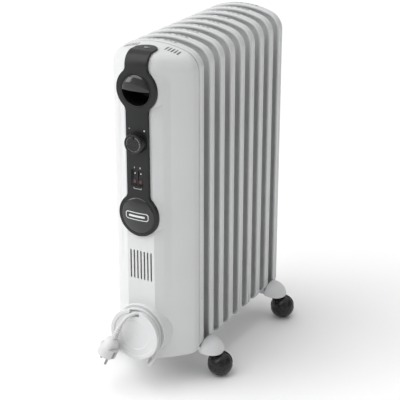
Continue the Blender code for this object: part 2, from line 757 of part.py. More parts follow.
def add_thermostat():
    place = front_place(0, 0, KNOB_Z)
    bracket_back = HOUSING_DEPTH - HOUSING_WALL - CLEAR - 0.0014
    front = bracket_back - CLEAR
    size = (0.034, 0.030, 0.022)
    body_mesh = box_mesh("thermostat_body", (size, (0, 0, front - size[2] / 2)))
    body = add_part("thermostat_body", body_mesh, CREAM_NYLON, place, FACING_FRONT)
    bevel = body.modifiers.new("rounding", "BEVEL")
    bevel.width = 0.002
    bevel.segments = 1
    bore = cone_mesh("shaft_bore", SHAFT_RADIUS + 0.0004, SHAFT_RADIUS + 0.0004, front - 0.014, 0.080, 16)
    combine(body, add_cutter("shaft_bore", bore, place, FACING_FRONT))
    shaft = cone_mesh("thermostat_shaft", SHAFT_RADIUS, SHAFT_RADIUS, front - 0.013, 0.0830, 16)
    add_part("thermostat_shaft", shaft, BARE_STEEL, place, FACING_FRONT)
    base = STRIP_FRONT + 0.0005
    profile = [
        (0, KNOB_FRONT - 0.0008),
        (KNOB_RADIUS - 0.0028, KNOB_FRONT - 0.0004),
        (KNOB_RADIUS - 0.0018, KNOB_FRONT),
        (KNOB_RADIUS - 0.0007, KNOB_FRONT - 0.0006),
        (KNOB_RADIUS, base + 0.002),
        (KNOB_RADIUS + 0.0008, base),
        (SHAFT_RADIUS + CLEAR, base),
        (SHAFT_RADIUS + CLEAR, 0.0833),
        (0, 0.0833),
    ]
    knob = turned_part("thermostat_knob", profile, DARK_PLASTIC, place, FACING_FRONT)
    pointer = box_mesh("pointer", ((0.0016, 0.0075, 0.0022), (0, KNOB_RADIUS - 0.0062, KNOB_FRONT)))
    combine(knob, add_cutter("pointer", pointer, place, FACING_FRONT), "UNION")


def add_switches():
    front = STRIP_FRONT - 0.0012
    back = 0.052
    width, height = WINDOW[0] - 2 * CLEAR, WINDOW[1] - 2 * CLEAR
    centre = (0, 0, (front + back) / 2)
    place = front_place(0, 0, SWITCH_Z)
    body_mesh = box_mesh("switch_body", ((width, height, front - back), centre))
    body = add_part("switch_body", body_mesh, ROCKER_BLACK, place, FACING_FRONT)
    pocket_back = ROCKER_DEPTH - 0.0042
    pockets = []
    for x in ROCKER_XS:
        middle = (x, 0, (pocket_back + 0.090) / 2)
        pockets.append(((ROCKER_WIDTH + 0.0008, 0.0270, 0.090 - pocket_back), middle))
    combine(body, add_cutter("rocker_pockets", box_mesh("pockets", *pockets), place, FACING_FRONT))
    profile = [
        (-ROCKER_HALF_HEIGHT, 0.0006),
        (-0.006, -0.0027),
        (0.006, -0.0027),
        (ROCKER_HALF_HEIGHT, 0.0006),
        (ROCKER_HALF_HEIGHT, 0.0040),
        (0, 0.0028),
        (-ROCKER_HALF_HEIGHT, 0.0040),
    ]
    for name, x in zip(("rocker_left", "rocker_right"), ROCKER_XS):
        mesh = flat_mesh(name, [profile], ROCKER_WIDTH)
        mesh.transform(Matrix.Rotation(math.pi / 2, 4, "Z") @ Matrix.Rotation(math.pi / 2, 4, "X"))
        turn = (math.pi / 2 - ROCKER_REST_TILT, 0, 0)
        add_part(name, mesh, ROCKER_BLACK, front_place(x, ROCKER_DEPTH, SWITCH_Z), turn)


def add_inner_parts():
    """Terminal block and safety cut-out on the heat shield."""
    size = (0.036, 0.016, 0.013)
    block_mesh = box_mesh("terminal_block", (size, (0, 0, SHIELD_FRONT + CLEAR + size[2] / 2)))
    place = front_place(0.046, 0, 0.096)
    block = add_part("terminal_block", block_mesh, CREAM_NYLON, place, FACING_FRONT)
    wells = [((0.006, 0.009, 0.010), (x, 0, SHIELD_FRONT + 0.0155)) for x in (-0.011, 0, 0.011)]
    combine(block, add_cutter("screw_wells", box_mesh("screw_wells", *wells), place, FACING_FRONT))
    profile = [
        (0, SHIELD_FRONT + 0.0075),
        (0.0070, SHIELD_FRONT + 0.0075),
        (0.0085, SHIELD_FRONT + 0.0055),
        (0.0085, SHIELD_FRONT + CLEAR),
        (0, SHIELD_FRONT + CLEAR),
    ]
    place = front_place(0, 0, 0.190)
    turned_part("thermal_cutout", profile, GLOSS_BLACK, place, FACING_FRONT, steps=20)


# Cord storage, cord and plug
def gland_frame():
    """Place of the gland's hole and its turn, leaning forward and down."""
    tip = front_place(*GLAND_TIP)
    aim = Vector((0, -math.cos(GLAND_LEAN), -math.sin(GLAND_LEAN)))
    return tip - aim * GLAND_LENGTH, aim.to_track_quat("Z", "Y").to_euler()


def add_spool():
    """A fixed reel, open at the notch that holds the cord's end."""
    profile = [
        (0, SPOOL_RIM - 0.0022),
        (0.0300, SPOOL_RIM - 0.0022),
        (0.0312, SPOOL_RIM - 0.0012),
        (0.0425, SPOOL_RIM - 0.0012),
        (0.0440, SPOOL_RIM),
        (SPOOL_RADIUS - 0.0015, SPOOL_RIM),
        (SPOOL_RADIUS, SPOOL_RIM - 0.0015),
        (SPOOL_RADIUS, GROOVE_FRONT + 0.001),
        (SPOOL_RADIUS - 0.001, GROOVE_FRONT),
        (HUB_RADIUS, GROOVE_FRONT),
        (HUB_RADIUS, SPOOL_BOSS_FRONT + CLEAR),
        (0, SPOOL_BOSS_FRONT + CLEAR),
    ]
    place = front_place(0, 0, SPOOL_Z)
    spool = turned_part("cord_spool", profile, WHITE_PLASTIC, place, FACING_FRONT)
    notch = box_mesh("notch", ((0.0225, 0.0220, 0.012), (0.00075, 0.0475, 0.0940)))
    combine(spool, add_cutter("notch", notch, place, FACING_FRONT))


def add_cord():
    place, turn = gland_frame()
    front = GLAND_LENGTH - CLEAR
    profile = [(0, front), (0.0048, front), (GLAND_RADIUS, 0.006), (GLAND_RADIUS, -0.006), (0, -0.006)]
    turned_part("cord_gland", profile, CORD_WHITE, place, turn, steps=SMALL_TURN_STEPS)
    coil = [
        (COIL_OUTER, COIL_FRONT),
        (COIL_OUTER, SPOOL_BOSS_FRONT + 0.0006),
        (HUB_RADIUS + 0.0004, SPOOL_BOSS_FRONT + 0.0006),
        (HUB_RADIUS + 0.0004, COIL_FRONT),
    ]
    turned_part("cord_coil", coil, CORD_WHITE, front_place(0, 0, SPOOL_Z), FACING_FRONT, closed=True)
    for name, route in (("cord_loop", LOOP_ROUTE), ("cord_tail", TAIL_ROUTE)):
        points = spline_through([front_place(*place) for place in route], 2 * CORD_DIAMETER / 3)
        rod_part(name, points, CORD_DIAMETER / 2, CORD_WHITE)


def add_plug():
    """A moulded plug with a ribbed strain relief and two round pins."""
    aim = PLUG_AIM.normalized()
    start = front_place(*PLUG_START)
    turn = aim.to_track_quat("Z", "Y").to_euler()
    body_start = RELIEF_LENGTH
    nose = RELIEF_LENGTH + PLUG_BODY_LENGTH
    profile = [
        (0, nose),
        (0.0180, nose),
        (0.0185, nose - 0.001),
        (0.0185, nose - 0.020),
        (0.0150, nose - 0.028),
        (0.0095, body_start + 0.001),
        (0.0062, body_start - 0.002),
        (0.0044, CLEAR),
        (0, CLEAR),
    ]
    turned_part("plug_body", profile, CORD_WHITE, start, turn, steps=24)
    across = Vector((0.915, 0, -0.40)).normalized()
    deep = aim.cross(across).normalized()
    line = (across * math.cos(PLUG_ROLL) + deep * math.sin(PLUG_ROLL)).normalized()
    pin = [(0, PIN_LENGTH), (0.0012, PIN_LENGTH), (0.0024, PIN_LENGTH - 0.0014), (0.0024, CLEAR), (0, CLEAR)]
    for name, side in (("plug_pin_1", -1), ("plug_pin_2", 1)):
        place = start + aim * nose + line * (side * PIN_SPACING / 2)
        turned_part(name, pin, PIN_NICKEL, place, turn, steps=12)


# Castors
def add_brackets():
    """Steel channels under the fins, each hung from the lower header by a U-bolt."""
    outer = BRACKET_WIDTH / 2
    inner = outer - BRACKET_WALL
    section = [
        (-outer, BRACKET_LIP),
        (-outer, BRACKET_TOP),
        (outer, BRACKET_TOP),
        (outer, BRACKET_LIP),
        (inner, BRACKET_LIP),
        (inner, BRACKET_TOP - BRACKET_WALL),
        (-inner, BRACKET_TOP - BRACKET_WALL),
        (-inner, BRACKET_LIP),
    ]
    for name, y in zip(("front", "rear"), GAP_YS):
        mesh = flat_mesh(f"castor_bracket_{name}", [section], 2 * (FIN_HALF - CLEAR))
        mesh.transform(Matrix.Rotation(math.pi / 2, 4, "Z") @ Matrix.Rotation(math.pi / 2, 4, "X"))
        bracket = add_part(f"castor_bracket_{name}", mesh, ZINC_STEEL, (0, y, 0))
        arch = arc((0, LOWER_HEADER_Z), U_BOLT_LEG_X, 180, 0, 9)
        path = [(-U_BOLT_LEG_X, U_BOLT_END), *arch, (U_BOLT_LEG_X, U_BOLT_END)]
        rod_part(f"u_bolt_{name}", [(x, y, z) for x, z in path], U_BOLT_RADIUS, ZINC_STEEL)
        for index, x in enumerate((-U_BOLT_LEG_X, U_BOLT_LEG_X)):
            hole = cone_mesh("bolt_hole", U_BOLT_RADIUS + 0.0004, U_BOLT_RADIUS + 0.0004, 0.05, 0.07, 12)
            combine(bracket, add_cutter("bolt_hole", hole, (x, y, 0)))
            nut_top = BRACKET_TOP - BRACKET_WALL - CLEAR
            add_wing_nut(f"wing_nut_{name}_{index + 1}", (x, y, nut_top))


def add_wing_nut(name, place):
    """A nut with two wings, pressed up against the inside of the bracket."""
    profile = [(0.0028, 0), (0.0062, 0), (0.0050, -0.0060), (0.0028, -0.0060)]
    nut = turned_part(name, profile, ZINC_STEEL, place, (0, 0, 0), closed=True, steps=12)
    for side in (-1, 1):
        wing = box_mesh("wing", ((0.0018, 0.0062, 0.0070), (0, side * 0.0070, -0.0058)))
        combine(nut, add_cutter("wing", wing, place), "UNION")


def add_hood(name, side, y):
    """A quarter dome beside the fins, with a foot that plugs into the bracket."""
    bm = bmesh.new()
    centre = (side * FIN_HALF, y, HOOD_Z)
    matrix = Matrix.Translation(centre) @ Matrix.Diagonal((*HOOD_SIZE, 1))
    bmesh.ops.create_uvsphere(bm, u_segments=24, v_segments=10, radius=1, matrix=matrix)
    dome = add_part(name, mesh_from(bm, name), WHITE_PLASTIC)
    inner_x, outer_x = FIN_HALF + CLEAR, 0.125
    wedge = [(inner_x, 0.0605), (outer_x, 0.0505), (outer_x, 0.095), (inner_x, 0.095)]
    mask = flat_mesh("hood_mask", [wedge], 0.09)
    mask.transform(Matrix.Diagonal((side, 1, 1, 1)) @ Matrix.Rotation(math.pi / 2, 4, "X"))
    if side < 0:
        mask.flip_normals()
    combine(dome, add_cutter("hood_mask", mask, (0, y, 0)), "INTERSECT")
    foot = box_mesh("foot", ((0.033, 0.0292, 0.0060), (side * 0.0785, 0, 0.0582)))
    combine(dome, add_cutter("hood_foot", foot, (0, y, 0)), "UNION")
    bore, top = STEM_RADIUS + CLEAR, STEM_TOP + 2 * CLEAR
    socket = cone_mesh("stem_socket", bore, bore, 0.050, top, SMALL_TURN_STEPS)
    combine(dome, add_cutter("stem_socket", socket, (side * STEM_X, y, 0)))


def add_castor(name, side, y):
    """A ball castor: two dome wheels on one axle, either side of a swivelling plate."""
    stem = Vector((side * STEM_X, y, 0))
    trail = Vector((side * math.cos(TRAIL_TURN), math.sin(TRAIL_TURN), 0))
    ball = stem + trail * TRAIL + Vector((0, 0, BALL_Z))
    axle = Vector((0, 0, 1)).cross(trail)
    axle_turn = axle.to_track_quat("Z", "Y").to_euler()
    half_plate = BALL_HALF_GAP - 0.0004
    plate = cone_mesh("plate", PLATE_RADIUS, PLATE_RADIUS, -half_plate, half_plate, 24)
    plate.transform(Matrix.Translation(ball - stem) @ axle_turn.to_matrix().to_4x4())
    swivel = add_part(f"castor_swivel_{name}", plate, CASTOR_BLACK, stem)
    neck_radius = half_plate - 0.0001
    neck = cone_mesh("neck", neck_radius, neck_radius, BALL_Z, NECK_TOP, SMALL_TURN_STEPS)
    combine(swivel, add_cutter("neck", neck, stem), "UNION")
    pin = cone_mesh("pin", STEM_RADIUS, STEM_RADIUS, 0.050, STEM_TOP, SMALL_TURN_STEPS)
    combine(swivel, add_cutter("pin", pin, stem), "UNION")
    bore_radius = AXLE_RADIUS + 0.0004
    bore = cone_mesh("axle_bore", bore_radius, bore_radius, -0.02, 0.02, SMALL_TURN_STEPS)
    combine(swivel, add_cutter("axle_bore", bore, ball, axle_turn))
    rim = math.degrees(math.asin(BALL_HALF_GAP / BALL_RADIUS))
    upper = arc((0, 0), BALL_RADIUS, 90, rim, 5)
    lower = [(r, -h) for r, h in reversed(upper)]
    profile = [*upper, (AXLE_RADIUS, BALL_HALF_GAP), (AXLE_RADIUS, -BALL_HALF_GAP), *lower]
    wheel = profile_mesh("wheel", profile)
    turn_modifier(add_part(f"castor_wheel_{name}", wheel, CASTOR_BLACK, ball, axle_turn), 20)


def add_castors():
    add_brackets()
    for end, y in zip(("front", "rear"), GAP_YS):
        for hand, side in (("left", -1), ("right", 1)):
            add_hood(f"castor_hood_{end}_{hand}", side, y)
            add_castor(f"{end}_{hand}", side, y)


add_fins()
add_headers()
add_element()
add_heat_shield()
add_housing()
add_strip()
add_handle()
add_badge()
add_control_bracket()
add_thermostat()
add_switches()
add_inner_parts()
add_spool()
add_cord()
add_plug()
add_castors()
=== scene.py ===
"""Looks of the oil filled radiator heater: fine surfaces, materials, light and camera.

Metres, +Z up. The fins stack along Y, the controls face -Y, and the floor is at Z = 0.
Front depths are measured forward from the seam between the housing and the first fin.
"""

import math

import bmesh
import bpy
import numpy as np
from mathutils import Euler, Matrix, Vector


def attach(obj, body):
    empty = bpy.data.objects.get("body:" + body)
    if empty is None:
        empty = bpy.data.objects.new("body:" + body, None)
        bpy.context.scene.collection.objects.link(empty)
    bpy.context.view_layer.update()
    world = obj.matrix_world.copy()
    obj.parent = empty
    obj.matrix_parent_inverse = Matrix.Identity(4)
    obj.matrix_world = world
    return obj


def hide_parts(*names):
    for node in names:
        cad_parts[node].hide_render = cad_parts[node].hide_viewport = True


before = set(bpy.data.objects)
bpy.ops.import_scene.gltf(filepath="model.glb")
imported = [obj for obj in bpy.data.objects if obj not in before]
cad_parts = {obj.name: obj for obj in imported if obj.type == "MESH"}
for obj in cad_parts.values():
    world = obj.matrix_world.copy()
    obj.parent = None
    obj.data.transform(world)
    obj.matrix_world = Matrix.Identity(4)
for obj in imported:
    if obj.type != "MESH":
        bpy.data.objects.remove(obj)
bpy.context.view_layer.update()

ORIGIN = (0, 0, 0)
FACING_FRONT = (math.pi / 2, 0, 0)

# Sizes repeated from the CAD model
FIN_COUNT = 9
FIN_PITCH = 0.040
FIN_DEPTH = 0.0167
FIN_HALF = 0.085
FIN_BOTTOM = 0.064
FIN_TOP = 0.663
FIN_FOOT_RADIUS = 0.015
FIN_CORNER_RADIUS = 0.036
FIN_CROWN_RADIUS = 0.180
FLANGE_WALL = 0.0018
SEAM_Y = -0.1232
FIN_START = 0.0028
FIRST_FIN_FRONT = SEAM_Y + FIN_START
FIRST_GAP_Y = FIRST_FIN_FRONT + (FIN_DEPTH + FIN_PITCH) / 2
GAP_YS = (FIRST_GAP_Y, FIRST_GAP_Y + 7 * FIN_PITCH)
HEADER_RADIUS = 0.016
LOWER_HEADER_Z = 0.115
UPPER_HEADER_Z = 0.617
HOUSING_WALL = 0.0025
HOUSING_DEPTH = 0.0675
HOUSING_FLAT_HALF = 0.0287
HOUSING_BOTTOM = 0.0634
HOUSING_TOP = 0.6615
TOP_SLOPE = 0.1
BROW_START = 0.046
BROW_DROP = 0.020
STRAIGHT_SIDE = 0.010
STRIP_HALF = 0.0228
STRIP_LIFT = 0.0065
STRIP_TIP_LIFT = 0.0009
STRIP_TIP = 0.020
STRIP_TIP_RADIUS = 0.0242
STRIP_FRONT = HOUSING_DEPTH + STRIP_LIFT
DISC_RADIUS = 0.041
DISC_FILLET = 0.014
HANDLE_Z = 0.5915
KNOB_Z = 0.495
SWITCH_Z = 0.4274
BADGE_Z = 0.355
GRIP_HOLE = 0.031
SHAFT_HOLE = 0.0038
VENT_WIDTH = 0.0031
FRONT_VENT_HEIGHT = 0.058
FRONT_VENT_Z = 0.2524
FRONT_VENT_PITCH = 0.0072
TOP_VENT_LENGTH = 0.016
TOP_VENT_DEPTH = 0.016
TOP_VENT_Z = 0.655
TOP_VENT_START = 0.030
TOP_VENT_PITCH = 0.006
KNOB_RADIUS = 0.019
KNOB_FRONT = 0.0875
WINDOW = (0.0258, 0.0312)
ROCKER_WIDTH = 0.009
ROCKER_XS = (-0.006, 0.006)
ROCKER_DEPTH = 0.0690
ROCKER_REST_TILT = math.radians(6)
BADGE_RADIUS = 0.0339
BADGE_APEX = 0.0790
BADGE_SAG = 0.0045
SPOOL_Z = 0.121
SPOOL_RADIUS = 0.051
HUB_RADIUS = 0.0265
SPOOL_BOSS_FRONT = 0.0725
GROOVE_FRONT = 0.0905
SPOOL_RIM = 0.0975
CORD_DIAMETER = 0.0066
GLAND_LEAN = math.radians(48)
GLAND_TIP = (0.0, 0.0329, 0.0546)
GLAND_LENGTH = 0.012
GLAND_HOLE = 0.0063

# The cord's free stretches as (x, depth, z). They follow the CAD model, except that the loop's
# last two points and the notch points join them to the turns in one smooth line.
LOOP_ROUTE = (
    GLAND_TIP,
    (0.0012, 0.0401, 0.0479),
    (0.0037, 0.0488, 0.0439),
    (0.0075, 0.0580, 0.0431),
    (0.0124, 0.0663, 0.0454),
    (0.0180, 0.0727, 0.0506),
    (0.0240, 0.0763, 0.0577),
    (0.0295, 0.0772, 0.0660),
    (0.0350, 0.0772, 0.0775),
    (0.0386, 0.0771, 0.0880),
)
NOTCH_ROUTE = (
    (0.0209, 0.0843, 0.1596),
    (0.0139, 0.0863, 0.1629),
    (0.0069, 0.0896, 0.1644),
    (0.0003, 0.0941, 0.1642),
)
TAIL_ROUTE = (
    (0.0030, 0.0919, 0.1644),
    (-0.0054, 0.0992, 0.1620),
    (-0.0104, 0.1040, 0.1581),
    (-0.0147, 0.1081, 0.1527),
    (-0.0185, 0.1110, 0.1464),
    (-0.0219, 0.1127, 0.1394),
)

# The turns, the plug and the castors
COIL_RADII = (0.0438, 0.0370, 0.0302)
COIL_DEPTHS = (0.0767, 0.0837)
PLUG_START = TAIL_ROUTE[-1]
PLUG_AIM = Vector((-0.40, -0.10, -0.91)).normalized()
PLUG_ACROSS = Vector((0.915, 0, -0.40)).normalized()
PLUG_ROLL = math.radians(33)
PLUG_NOSE = 0.066
CORD_INTO_PLUG = 0.009
PIN_RADIUS = 0.0024
PIN_LENGTH = 0.019
PIN_SPACING = 0.019
BALL_RADIUS = 0.025
BALL_HALF_GAP = 0.0054
BALL_Z = math.sqrt(BALL_RADIUS**2 - BALL_HALF_GAP**2)
TRAIL = 0.017
TRAIL_TURN = math.radians(27)
STEM_X = 0.0953
STEM_RADIUS = 0.004
PLATE_RADIUS = 0.0232
U_BOLT_RADIUS = 0.0024
HOOD_SIZE = (0.034, 0.0335, 0.025)
HOOD_Z = 0.054


def new_object(name, data):
    obj = bpy.data.objects.new(name, data)
    bpy.context.scene.collection.objects.link(obj)
    return obj


# Camera
def add_camera():
    data = bpy.data.cameras.new("camera")
    data.sensor_width = 36
    data.lens = 112.2
    data.clip_start, data.clip_end = 0.05, 50
    camera = new_object("camera", data)
    camera.location = (1.1112, -1.9653, 1.2340)
    camera.rotation_euler = (math.radians(90 - 22.15), 0, math.radians(29.07))
    bpy.context.scene.camera = camera


add_camera()


# Materials
def set_inputs(node, values):
    for name, value in values.items():
        node.inputs[name].default_value = value


def surface(
    name,
    colour,
    roughness,
    metallic=0.0,
    coat=0.0,
    grain=(900, 0.00004),
    blotch=(14, 0.05),
    rough_swing=0.08,
    specular=0.5,
):
    """A Principled material with its own grain, faint blotches and uneven gloss.

    grain is (features per metre, height in metres); blotch is (features per metre, share of brightness).
    """
    material = bpy.data.materials.new(name)
    material.use_nodes = True
    nodes, links = material.node_tree.nodes, material.node_tree.links
    shader = nodes["Principled BSDF"]
    set_inputs(shader, {"Metallic": metallic, "Specular IOR Level": specular})
    set_inputs(shader, {"Coat Weight": coat, "Coat Roughness": 0.12})
    places = nodes.new("ShaderNodeTexCoord")

    def noise(scale, detail, rough=0.55):
        node = nodes.new("ShaderNodeTexNoise")
        set_inputs(node, {"Scale": scale, "Detail": detail, "Roughness": rough})
        links.new(places.outputs["Object"], node.inputs["Vector"])
        return node

    patches = noise(blotch[0], 5)
    ramp = nodes.new("ShaderNodeValToRGB")
    ramp.color_ramp.elements[0].position = 0.30
    ramp.color_ramp.elements[1].position = 0.70
    dim, lift = 1 - blotch[1], 1 + blotch[1]
    ramp.color_ramp.elements[0].color = (*[c * dim for c in colour], 1)
    ramp.color_ramp.elements[1].color = (*[min(1.0, c * lift) for c in colour], 1)
    links.new(patches.outputs["Fac"], ramp.inputs["Fac"])
    links.new(ramp.outputs["Color"], shader.inputs["Base Color"])

    gloss = noise(blotch[0] * 6, 6, 0.65)
    spread = nodes.new("ShaderNodeMapRange")
    glossy, dull = max(0.02, roughness - rough_swing), min(1.0, roughness + rough_swing)
    set_inputs(spread, {"From Min": 0.3, "From Max": 0.7, "To Min": glossy, "To Max": dull})
    links.new(gloss.outputs["Fac"], spread.inputs["Value"])
    links.new(spread.outputs["Result"], shader.inputs["Roughness"])

    fine = noise(grain[0], 3)
    bump = nodes.new("ShaderNodeBump")
    set_inputs(bump, {"Strength": 0.6, "Distance": grain[1]})
    links.new(fine.outputs["Fac"], bump.inputs["Height"])
    links.new(bump.outputs["Normal"], shader.inputs["Normal"])
    return material


def brushed(name, colour, roughness, stretch):
    """Bare metal with fine drawn lines along one direction."""
    material = surface(name, colour, roughness, metallic=1.0, grain=(400, 0.00003), rough_swing=0.1)
    nodes, links = material.node_tree.nodes, material.node_tree.links
    places = nodes["Texture Coordinate"]
    mapping = nodes.new("ShaderNodeMapping")
    set_inputs(mapping, {"Scale": stretch})
    links.new(places.outputs["Object"], mapping.inputs["Vector"])
    lines = nodes.new("ShaderNodeTexNoise")
    set_inputs(lines, {"Scale": 60, "Detail": 6})
    links.new(mapping.outputs["Vector"], lines.inputs["Vector"])
    links.new(lines.outputs["Fac"], nodes["Bump"].inputs["Height"])
    return material


FIN_PAINT = surface("fin_paint", (0.60, 0.605, 0.61), 0.34, coat=0.2, grain=(700, 0.00006), blotch=(9, 0.03))
HEADER_PAINT = surface("header_paint", (0.50, 0.505, 0.51), 0.38, grain=(600, 0.00006), blotch=(20, 0.04))
SHELL_WHITE = surface(
    "shell_white", (0.62, 0.625, 0.63), 0.36, coat=0.1, grain=(1500, 0.00003), blotch=(7, 0.02)
)
PANEL_DARK = surface(
    "panel_dark", (0.012, 0.0125, 0.0135), 0.36, grain=(1800, 0.00005), blotch=(30, 0.12), specular=0.3
)
CUP_BLACK = surface("cup_black", (0.008, 0.008, 0.009), 0.20, coat=0.2, blotch=(30, 0.15), specular=0.3)
GLOSS_BLACK = surface(
    "gloss_black", (0.010, 0.0105, 0.011), 0.14, coat=0.3, grain=(500, 0.00001), blotch=(25, 0.12)
)
KNOB_DARK = surface(
    "knob_dark", (0.011, 0.0115, 0.012), 0.30, grain=(1600, 0.00004), blotch=(40, 0.12), specular=0.35
)
PRINT_WHITE = surface("print_white", (0.66, 0.66, 0.66), 0.5, grain=(2500, 0.00001), blotch=(200, 0.06))
BAR_SILVER = surface(
    "bar_silver", (0.68, 0.69, 0.70), 0.28, metallic=0.4, grain=(2500, 0.00001), blotch=(120, 0.06)
)
ROCKER_BLACK = surface(
    "rocker_black", (0.010, 0.010, 0.011), 0.24, grain=(1500, 0.00003), blotch=(60, 0.12), specular=0.35
)
NEON_RED = surface("neon_red", (0.07, 0.012, 0.010), 0.18, coat=0.3, grain=(900, 0.00002), blotch=(150, 0.2))
CREAM_NYLON = surface("cream_nylon", (0.58, 0.53, 0.43), 0.5, grain=(1200, 0.00005), blotch=(60, 0.06))
CORD_WHITE = surface("cord_white", (0.60, 0.60, 0.60), 0.46, grain=(1100, 0.00005), blotch=(45, 0.04))
PIN_NICKEL = brushed("pin_nickel", (0.30, 0.295, 0.28), 0.30, (1, 1, 8))
CASTOR_BLACK = surface(
    "castor_black", (0.010, 0.010, 0.0105), 0.27, grain=(1500, 0.000012), blotch=(50, 0.10), specular=0.4
)
ZINC_STEEL = brushed("zinc_steel", (0.62, 0.63, 0.66), 0.30, (0.3, 4, 4))
BARE_STEEL = brushed("bare_steel", (0.52, 0.53, 0.55), 0.36, (6, 6, 0.4))
COPPER = brushed("element_sheath", (0.58, 0.33, 0.21), 0.34, (8, 0.3, 8))


# Pieces
def front_place(x, depth, z):
    """A world place, given its depth forward of the seam."""
    return Vector((x, SEAM_Y - depth, z))


def add_piece(name, mesh, material, slot, body="heater", replaces=(), place=ORIGIN, turn=ORIGIN, angle=32):
    """Adds a visible piece that moves with a body and stands for CAD nodes."""
    if any(turn):
        mesh = mesh.copy()
        mesh.transform(Matrix.LocRotScale(Vector(place), Euler(turn), None))
        place = ORIGIN
    obj = new_object(name, mesh)
    if not mesh.materials:
        mesh.materials.append(material)
    obj.location = place
    if angle:
        mesh.shade_smooth()
        mesh.set_sharp_from_angle(angle=math.radians(angle))
    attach(obj, body)
    if replaces:
        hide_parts(*replaces)
    return obj


def add_front_piece(name, mesh, material, slot, z, replaces=(), body="heater", angle=32):
    """Adds a piece modelled lying down, facing forward at a height on the middle line."""
    add_piece(name, mesh, material, slot, body, replaces, front_place(0, 0, z), FACING_FRONT, angle)


def mesh_from(bm, name):
    bmesh.ops.recalc_face_normals(bm, faces=bm.faces)
    mesh = bpy.data.meshes.new(name)
    bm.to_mesh(mesh)
    bm.free()
    return mesh


def loft_mesh(name, loops, closed=False):
    """A solid through equal loops of points: capped at both ends, or joined into a ring."""
    bm = bmesh.new()
    rings = [[bm.verts.new(point) for point in loop] for loop in loops]
    pairs = list(zip(rings, rings[1:]))
    if closed:
        pairs.append((rings[-1], rings[0]))
    for ring, following in pairs:
        for index in range(len(ring)):
            beside = (index + 1) % len(ring)
            bm.faces.new((ring[index], ring[beside], following[beside], following[index]))
    if not closed:
        bm.faces.new(rings[0])
        bm.faces.new(rings[-1])
    return mesh_from(bm, name)


def turned_mesh(name, profile, steps=72, closed=False):
    """A profile of (radius, height) points turned about local Z."""
    bm = bmesh.new()
    rings = []
    for radius, height in profile:
        if radius < 1e-7:
            rings.append([bm.verts.new((0, 0, height))])
            continue
        angles = [2 * math.pi * step / steps for step in range(steps)]
        rings.append([bm.verts.new((radius * math.cos(a), radius * math.sin(a), height)) for a in angles])
    pairs = list(zip(rings, rings[1:]))
    if closed:
        pairs.append((rings[-1], rings[0]))
    for ring, following in pairs:
        for index in range(steps):
            beside = (index + 1) % steps
            corners = [ring[index % len(ring)], ring[beside % len(ring)]]
            corners += [following[beside % len(following)], following[index % len(following)]]
            distinct = list(dict.fromkeys(corners))
            if len(distinct) > 2:
                bm.faces.new(distinct)
    return mesh_from(bm, name)


def rounded(points, radius, steps=4, closed=False):
    """The same polyline with its corners rounded as far as its edges allow."""
    result = []
    count = len(points)
    for index, point in enumerate(points):
        if not closed and index in (0, count - 1):
            result.append(tuple(point))
            continue
        corner = Vector(point)
        before = Vector(points[index - 1]) - corner
        after = Vector(points[(index + 1) % count]) - corner
        turn = before.angle(after, math.pi)
        if turn > math.pi - 0.03:
            result.append(tuple(point))
            continue
        reach = min(radius / math.tan(turn / 2), before.length * 0.45, after.length * 0.45)
        start, end = corner + before.normalized() * reach, corner + after.normalized() * reach
        for step in range(steps + 1):
            t = step / steps
            mixed = start * (1 - t) ** 2 + corner * (2 * t * (1 - t)) + end * t**2
            result.append(tuple(mixed))
    return result


def arc(centre, radius, start, end, count):
    """Points on an arc, angles in degrees, both ends included."""
    angles = [math.radians(start + (end - start) * step / (count - 1)) for step in range(count)]
    return [(centre[0] + radius * math.cos(a), centre[1] + radius * math.sin(a)) for a in angles]


def rounded_rectangle(width, height, radius, centre=(0, 0), count=7):
    points = []
    for side_x, side_y, start in ((1, -1, -90), (1, 1, 0), (-1, 1, 90), (-1, -1, 180)):
        middle_x = centre[0] + side_x * (width / 2 - radius)
        middle_y = centre[1] + side_y * (height / 2 - radius)
        points += arc((middle_x, middle_y), radius, start, start + 90, count)
    return points


def slab_mesh(name, outline, low, high, edge=0.0, steps=3):
    """A flat slab in local XY between two heights, its top edge rounded."""
    middle = Vector((sum(p[0] for p in outline), sum(p[1] for p in outline))) / len(outline)
    size = max((Vector(p) - middle).length for p in outline)
    levels = [(0.0, low)]
    for step in range(steps + 1):
        turn = math.radians(90 * step / steps)
        levels.append((edge * (1 - math.cos(turn)), high - edge * (1 - math.sin(turn))))
    loops = []
    for inset, height in levels:
        shrunk = [middle + (Vector(point) - middle) * (1 - inset / size) for point in outline]
        loops.append([(point.x, point.y, height) for point in shrunk])
    return loft_mesh(name, loops)


def box_mesh(name, *boxes):
    bm = bmesh.new()
    for size, centre in boxes:
        bmesh.ops.create_cube(bm, size=1, matrix=Matrix.Translation(centre) @ Matrix.Diagonal((*size, 1)))
    return mesh_from(bm, name)


def shaped(name, mesh, steps, bevel=None):
    """Applies Boolean steps (operation, mesh, place, turn) to a mesh and returns the result."""
    obj = new_object(name, mesh)
    helpers = []
    for number, (operation, cutter_mesh, place, turn) in enumerate(steps):
        cutter = new_object(f"{name}_cut_{number}", cutter_mesh)
        cutter.location = place
        cutter.rotation_euler = turn
        helpers.append(cutter)
        modifier = obj.modifiers.new(cutter.name, "BOOLEAN")
        modifier.operation = operation
        modifier.solver = "EXACT"
        modifier.object = cutter
    if bevel:
        modifier = obj.modifiers.new("edge", "BEVEL")
        modifier.width = bevel
        modifier.segments = 2
        modifier.limit_method = "ANGLE"
        modifier.angle_limit = math.radians(40)
        modifier.use_clamp_overlap = True
    bpy.context.view_layer.update()
    evaluated = obj.evaluated_get(bpy.context.evaluated_depsgraph_get())
    result = bpy.data.meshes.new_from_object(evaluated)
    for helper in [obj, *helpers]:
        bpy.data.objects.remove(helper)
    result.name = name
    return result


